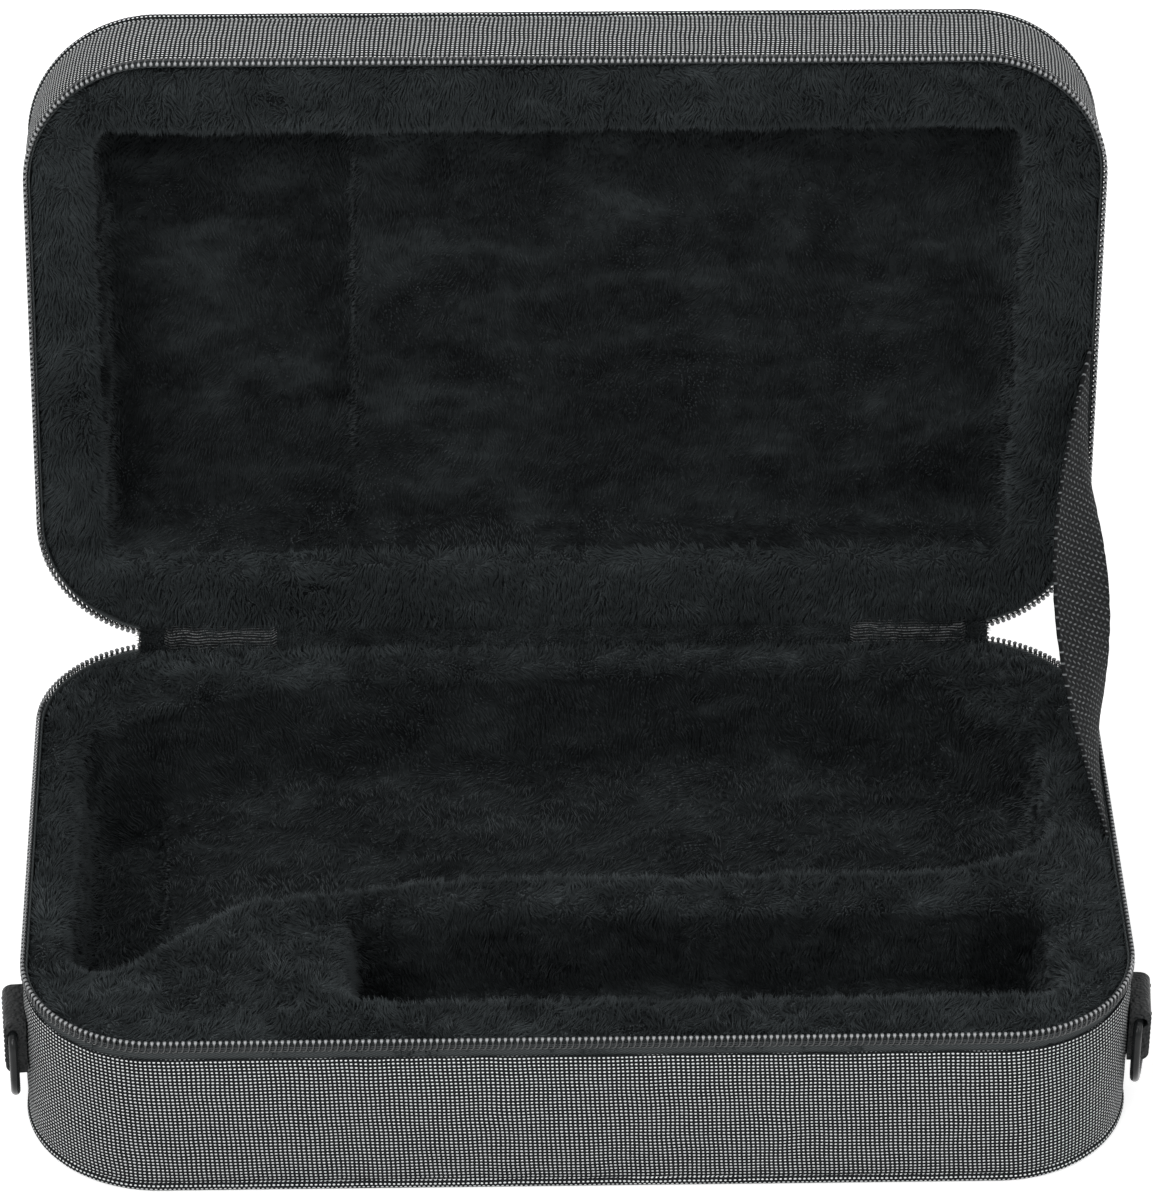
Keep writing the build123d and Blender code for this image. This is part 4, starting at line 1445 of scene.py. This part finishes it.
def strip(name, line, thickness, x_low, x_high, columns, material, wave=0.0):
    """A cloth strip along X: line is its YZ middle line, thickness to either side of it."""
    line = np.array(line)
    way = unit(np.gradient(line, axis=0))
    off = np.stack([-way[:, 1], way[:, 0]], -1)
    half = np.asarray(thickness)[..., None] / 2 * off
    section = np.concatenate([line + half, (line - half)[::-1]])
    both = np.concatenate([off, off[::-1]])
    xs = np.linspace(x_low, x_high, columns)
    end = smooth(0, 2.5 * MM, np.minimum(xs - x_low, x_high - xs))
    middle = section.mean(0)
    points = np.empty((columns, len(section), 3))
    points[..., 0] = xs[:, None]
    for c, x in enumerate(xs):
        lift = wave * ripple(np.full(len(section), x), np.arange(len(section)) * 0.0004, 0.018, 51)
        narrow = 0.9 + 0.1 * end[c]
        points[c, :, 1:] = middle + (section + lift[:, None] * both - middle) * narrow
    return swept_strip(name, points, xs, material)


def rounded_line(points, steps):
    """A smooth line through a few YZ points."""
    points = np.array(points, float)
    lengths = running(points)
    t = np.linspace(0, lengths[-1], steps)
    line = np.stack([np.interp(t, lengths, points[:, k]) for k in (0, 1)], -1)
    for _ in range(steps // 4):
        line[1:-1] = line[1:-1] * 0.5 + (line[:-2] + line[2:]) * 0.25
    return line


class HingeSpine(BuildPiece):
    """The fabric that joins both halves over the hinge, with the plush on its inner side."""

    bl_idname = "softcase.hinge_spine"
    bl_label = "Hinge spine"

    def build(self, scene):
        middle = (FABRIC_INSET + FABRIC / 2) / MM
        y = HALF_DEPTH - middle * MM
        line = [(y, 0.0682), (y, 0.0745), (y + 0.1 * MM, 0.0805)]
        line = rounded_line([*line, spine_point(middle, 4.5), spine_point(middle, 11.8)], 30)
        width = (-HALF_HINGE, HALF_HINGE, 160)
        cover = strip("hinge_spine_cloth", line, FABRIC, *width, "Cover fabric", 0.2 * MM)
        y = HALF_DEPTH - 2.6 * MM
        line = [(y, 0.0735), (y, 0.0785), (y + 0.4 * MM, 0.0815)]
        line = rounded_line([*line, spine_point(2.7, 3.5), spine_point(2.6, 7.5)], 12)
        width = (-HALF_HINGE + 1 * MM, HALF_HINGE - 1 * MM, 140)
        soft = strip("hinge_plush", line, 0.7 * MM, *width, "Plush backing", 0.3 * MM)

        def inward(_, normals):
            return normals[:, 2] > normals[:, 1]

        nap = (0.0, -0.9, 0.5)
        pile = grow_pile(soft, "hinge_pile", inward, scene.case_plush, nap, length=0.8, share=0.22)
        bend = ((0, HINGE_Y, 0.074), (0, HINGE_Y + 8 * MM, 0.082))
        bridge(cover, "cover_fabric", *bend, "hinge_spine")
        bridge(soft, "plush", *bend)
        bridge(pile, "plush", *bend)


class HingeBands(BuildPiece):
    """The two ribbed webbing bands over the hinge, tucked under the plush at both ends."""

    bl_idname = "softcase.hinge_bands"
    bl_label = "Hinge bands"
    under_base = ((0.1312, 0.0738), (0.1346, 0.0740), (0.1359, 0.0768), (0.1362, 0.0808))
    under_lid = ((2.8, -0.4), (3.6, 1.8), (4.6, 4.2), (8.5, 4.8))
    bend = ((0, 0.134, 0.077), (0, 0.142, 0.084))
    spans = {"left": (-0.1756, -0.1262), "right": (0.1262, 0.1772)}

    def build(self, scene):
        line = rounded_line([*self.under_base, *(spine_point(*p) for p in self.under_lid)], 56)
        ribs_on = (0.9 + 0.5 * np.sin(2 * pi * np.arange(56) / 4.2)) * MM
        for side, (x_low, x_high) in self.spans.items():
            name, width = f"hinge_web_{side}", (x_low, x_high, 60)
            band = strip(name, line, ribs_on, *width, "Ribbed webbing", 0.35 * MM)
            bridge(band, "webbing", *self.bend, f"hinge_band_{side}")


class StayStrap(BuildPiece):
    """The webbing that holds the lid open on the right, sewn under both rims."""

    bl_idname = "softcase.stay_strap"
    bl_label = "Stay strap"
    columns, rows = 150, 79
    into_seam = 9 * MM
    # Where its front and back edges meet the rims: X, the base's Y, and how far up the lid in mm
    x, base_edges, lid_edges = 226 * MM, (-8 * MM, 57 * MM), (140, 83)

    def build(self, scene):
        look, rows = scene.case_webbing, self.rows
        base_front, base_back = (np.array([self.x, y, HEIGHT["base"]]) for y in self.base_edges)
        lid_front, lid_back = (np.array([self.x, *spine_point(up, 0)]) for up in self.lid_edges)
        run = unit(lid_front + lid_back - base_front - base_back)
        share = np.linspace(0, 1, rows)
        edge = np.minimum(share, 1 - share)
        thick = (0.62 + 0.1 * np.abs(np.sin(pi * 13 * share)) + 0.12 * (edge < 0.03)) * MM
        thick = (thick * np.clip(edge / 0.012 + 0.35, 0, 1))[:, None]
        points = np.empty((self.columns, 2 * rows, 3))
        for c, t in enumerate(np.linspace(0, 1, self.columns)):
            bow = sin(pi * t)
            front = base_front * (1 - t) + lid_front * t + np.array([-look.bow_in * bow, 0, 0])
            back = base_back * (1 - t) + lid_back * t + np.array([look.bow_out * bow, 0, 0])
            # The cloth between the edges hollows slightly and waves along its length
            line = front + (back - front) * share[:, None]
            line[:, 0] += bow * 1.4 * MM * np.sin(pi * share) * sin(2 * pi * t + 0.6)
            line[:, 0] += 0.35 * MM * bow * ripple(share * 0.06, t * 0.25, 0.05, 61)
            off = unit(np.cross(unit(back - front), run)) * thick
            points[c] = np.concatenate([line + off, (line - off)[::-1]])
        # Both ends go on into the seams
        low, high = points[:1].copy(), points[-1:].copy()
        low[..., 2] -= self.into_seam
        high[..., 1:] += self.into_seam * np.array([OPEN_Y, OPEN_Z])
        points = np.concatenate([low, points, high])
        uv = once_more(points[..., 1:] @ np.array([[run[2], run[1]], [-run[1], run[2]]]))
        strap = swept("stay_webbing", points, uv, MATERIALS["Webbing"])
        ends = (base_front * 0.5 + base_back * 0.5, lid_front * 0.5 + lid_back * 0.5)
        bridge(strap, "webbing", *ends, "stay_strap")


# The tabs stand on the front corners' arcs, turned with them
TAB_TURN = radians(4.6)
STITCH_OUT, STITCH_ASIDE, STITCH_ENDS = 9.0 * MM, 9.2 * MM, (36.5 * MM, 54.5 * MM)


class RingTabs(BuildPiece):
    """The padded tabs that hold the rings, with a row of stitches along each edge."""

    bl_idname = "softcase.ring_tabs"
    bl_label = "Ring tabs"

    def build(self, scene):
        leatherette = MATERIALS["Tab leatherette"]
        for side, sign in (("left", -1), ("right", 1)):
            tab = cad_copy(f"ring_tab_{side}", f"tab_{side}", leatherette, 1.1 * MM, 4, 50)
            settle(tab, "base", "tab_leatherette", f"ring_tab_{side}")
            out = np.array([sign * cos(TAB_TURN), -sin(TAB_TURN), 0])
            way = np.array([sin(TAB_TURN) * sign, cos(TAB_TURN), 0])
            corner = np.array([sign * (HALF_LENGTH - CORNER), CORNER - HALF_DEPTH, 0])
            edge = corner + out * (CORNER - FABRIC_INSET + STITCH_OUT)
            for row, aside in (("front", -STITCH_ASIDE), ("back", STITCH_ASIDE)):
                line = [edge + way * aside + np.array([0, 0, z]) for z in STITCH_ENDS]
                name, stitch = f"tab_{side}_stitches_{row}", stitch_mesh(2.2 * MM, 0.22 * MM)
                stitches = repeat_along(name, line, stitch, 8, out, "Sewing thread")
                settle(stitches, "base", "tab_leatherette")


class Rings(BuildPiece):
    """The two carry rings of bent wire."""

    bl_idname = "softcase.rings"
    bl_label = "Rings"
    corners, radii = ((-17, 0), (17, 0), (17, -34), (-17, -34)), (4.5, 4.5, 16, 16)
    wire, sides = 2 * MM, 14

    def build(self, scene):
        outline = rounded_polygon(self.corners, self.radii, 14)
        lengths = running(np.concatenate([outline, outline[:1]]))
        down = np.array([0, 0, -1.0])
        for side, sign, twist in (("left", -1, 0.0), ("right", 1, scene.case_hardware.ring_twist)):
            turn = TAB_TURN + twist
            way = np.array([sign * sin(turn), cos(turn), 0])
            bar = np.array(JOINTS[f"ring_{side}_swing"]["pos_m"])
            centres = bar + outline[:, :1] * way - outline[:, 1:] * down
            flat = np.cross(way, down)
            across = np.cross(unit(np.roll(centres, -1, 0) - np.roll(centres, 1, 0)), flat)
            rows = [centres + self.wire * (c * flat + s * across) for c, s in around(self.sides)]
            points, name = np.stack(rows, 1), f"wire_ring_{side}"
            metal = MATERIALS["Black metal"]
            ring = swept(name, points, section_uv(points, lengths), metal, loop=True)
            settle(ring, f"ring_{side}", "black_metal", f"ring_{side}")


# The zip's closed ends stand out 8 mm from the hinge, halfway between both halves
TAIL_LEAN = OPEN_ANGLE / 2
TAIL_OUT = np.array([0, cos(TAIL_LEAN), -sin(TAIL_LEAN)])
TAIL_WAY = np.array([0, -sin(TAIL_LEAN), -cos(TAIL_LEAN)])
TAIL = np.array([0, HINGE_Y, HINGE_Z]) + 8 * MM * TAIL_OUT
TAIL_ENDS = (0.150, 0.1805)
TAIL_SECTION = (
    (-7.4, -0.75), (-7.4, -0.1), (-6.9, 0.0), (0.0, -0.02), (6.9, 0.0), (7.4, -0.1), (7.4, -0.75),
    (0.0, -0.8),
)


class ZipEnds(BuildPiece):
    """The closed ends of the zip behind the hinge, each with its slider and pull."""

    bl_idname = "softcase.zip_ends"
    bl_label = "Zip ends"
    tooth_height, coil_aside, end_gap = 5.0 * MM, 4.65 * MM, 0.6 * MM

    def build(self, scene):
        look, metal = scene.case_zip, MATERIALS["Black metal"]
        for side, sign in (("left", -1), ("right", 1)):
            body = f"zip_end_{side}"
            x_low, x_high = sorted(sign * x for x in TAIL_ENDS)
            xs = np.linspace(x_low, x_high, 40)
            middle = TAIL + np.outer(xs, (1, 0, 0))
            rows = [middle + v * MM * TAIL_WAY + w * MM * TAIL_OUT for v, w in TAIL_SECTION]
            tape = swept_strip(f"zip_tail_{side}_tape", np.stack(rows, 1), xs, "Zip tape")
            settle(tape, body, "zip_coil", body)
            for row, head in (("lower", -1), ("upper", 1)):
                ends = [x_low + self.end_gap, x_high - look.pitch - self.end_gap]
                ends = ends if head < 0 else [ends[1] + look.pitch, ends[0] + look.pitch]
                row_middle = TAIL - head * self.coil_aside * TAIL_WAY
                line = [row_middle + np.array([x, 0, 0]) for x in ends]
                count = int(abs(ends[1] - ends[0]) / look.pitch) + 1
                name, tooth = f"zip_tail_{side}_coil_{row}", tooth_mesh(look, self.tooth_height)
                coil = repeat_along(name, line, tooth, count, head * TAIL_WAY, "Zip coil")
                settle(coil, body, "zip_coil")
            for part, bevel in (("slider", 0.55), ("pull", 0.4)):
                node = f"zip_{part}_{side}"
                piece = cad_copy(node, f"zip_{side}_{part}", metal, bevel * MM, 3, 30)
                settle(piece, node, "black_metal", node)


class StageAndCamera(bpy.types.Operator):
    """The pale floor, the soft lamps and the camera at the photograph's view."""

    bl_idname = "softcase.studio"
    bl_label = "Studio"
    bl_options = {"REGISTER", "UNDO"}
    # The camera was solved from the outlines of both rims
    camera_place = (-0.07638, -2.13625, 1.72886)
    camera_pitch, camera_yaw, camera_roll = radians(35.593), radians(2.064), radians(0.672)
    camera_lens = 191.36
    lamp_aim = Vector((0, 0.03, 0.12))

    def execute(self, context):
        look = context.scene.case_studio
        self.lay_floor(look)
        self.light_all_round(context.scene, look)
        self.hang_lamps(look)
        self.aim_camera(context.scene)
        context.scene.view_settings.view_transform = "Standard"
        return {"FINISHED"}

    def lay_floor(self, look):
        half = look.floor_size / 2
        corners = [(-half, -half, 0), (half, -half, 0), (half, half, 0), (-half, half, 0)]
        material = bpy.data.materials.new("Pale floor")
        material.use_nodes = True
        tree = material.node_tree
        tree.nodes.clear()
        matt = add_node(tree, "ShaderNodeBsdfDiffuse", {"Color": (0.8, 0.8, 0.8, 1)})
        glowing = {"Color": (1, 1, 1, 1), "Strength": self.seen_directly(tree) * 0.62}
        glow = add_node(tree, "ShaderNodeEmission", glowing)
        both = add_node(tree, "ShaderNodeAddShader", {0: matt, 1: glow})
        add_node(tree, "ShaderNodeOutputMaterial", {"Surface": both})
        floor = new_object("floor", new_mesh("floor", corners, [(0, 1, 2, 3)]), material)
        floor.location.z = -0.2 * MM

    def light_all_round(self, scene, look):
        world = bpy.data.worlds.new("Studio")
        scene.world = world
        world.use_nodes = True
        tree = world.node_tree
        tree.nodes.clear()
        strength = look.ambient + self.seen_directly(tree) * (1.0 - look.ambient)
        sky = add_node(tree, "ShaderNodeBackground", {"Color": (1, 1, 1, 1), "Strength": strength})
        add_node(tree, "ShaderNodeOutputWorld", {"Surface": sky})

    def hang_lamps(self, look):
        lamps = (
            ("key_lamp", look.key, 1.5, (-1.3, -1.9, 2.3)),
            ("fill_lamp", look.fill, 1.8, (2.0, -1.2, 1.7)),
            ("top_lamp", look.top, 1.2, (0.1, 0.9, 2.7)),
            ("spark_lamp", look.spark, 0.16, (-0.35, -0.9, 2.5)),
        )
        for name, power, size, where in lamps:
            lamp = bpy.data.lights.new(name, "AREA")
            lamp.energy = power
            lamp.size = size
            holder = new_object(name, lamp)
            holder.location = where
            aim = self.lamp_aim - Vector(where)
            holder.rotation_euler = aim.to_track_quat("-Z", "Y").to_euler()

    def aim_camera(self, scene):
        lens = bpy.data.cameras.new("photo_view")
        lens.lens = self.camera_lens
        lens.sensor_width = 36
        lens.clip_end = 100
        camera = new_object("photo_view", lens)
        pitch, yaw, roll = self.camera_pitch, self.camera_yaw, self.camera_roll
        ahead = Vector((sin(yaw) * cos(pitch), cos(yaw) * cos(pitch), -sin(pitch)))
        level = Vector((cos(yaw), -sin(yaw), 0))
        upright = level.cross(ahead)
        right = cos(roll) * level + sin(roll) * upright
        up = cos(roll) * upright - sin(roll) * level
        turned = Matrix((right, up, -ahead)).transposed().to_4x4()
        camera.matrix_world = Matrix.Translation(self.camera_place) @ turned
        scene.camera = camera

    def seen_directly(self, tree):
        """1 for rays from the camera and for those that metal and glass send on."""
        path = add_node(tree, "ShaderNodeLightPath")
        some = maths("MAXIMUM", path["Is Camera Ray"], path["Is Glossy Ray"])
        return maths("MAXIMUM", some, path["Is Transmission Ray"])


class CasePanel(bpy.types.Panel):
    """Lists the steps that build the case's looks."""

    bl_idname = "SOFTCASE_PT_steps"
    bl_label = "Soft Case"
    bl_space_type = "VIEW_3D"
    bl_region_type = "UI"
    bl_category = "Soft Case"

    def draw(self, context):
        for step in STEPS:
            self.layout.operator(step.bl_idname)
        for name, group in SETTINGS.items():
            box = self.layout.box()
            box.label(text=group.__doc__.rstrip("."))
            for prop in group.__annotations__:
                box.prop(getattr(context.scene, name), prop)


STEPS = (
    FoamShells, PlushLinings, SideCovers, OuterPanels, Piping, ZipTapes, ZipCoils, HingeSpine,
    HingeBands, StayStrap, RingTabs, Rings, ZipEnds, StageAndCamera,
)
CLASSES = (*SETTINGS.values(), *STEPS, CasePanel)


def register():
    for cls in CLASSES:
        bpy.utils.register_class(cls)
    for name, group in SETTINGS.items():
        setattr(bpy.types.Scene, name, PointerProperty(type=group))


def unregister():
    for name in SETTINGS:
        delattr(bpy.types.Scene, name)
    for cls in reversed(CLASSES):
        bpy.utils.unregister_class(cls)


def main():
    register()
    for step in STEPS:
        group, name = step.bl_idname.split(".")
        getattr(getattr(bpy.ops, group), name)()


if __name__ == "__main__":
    main()
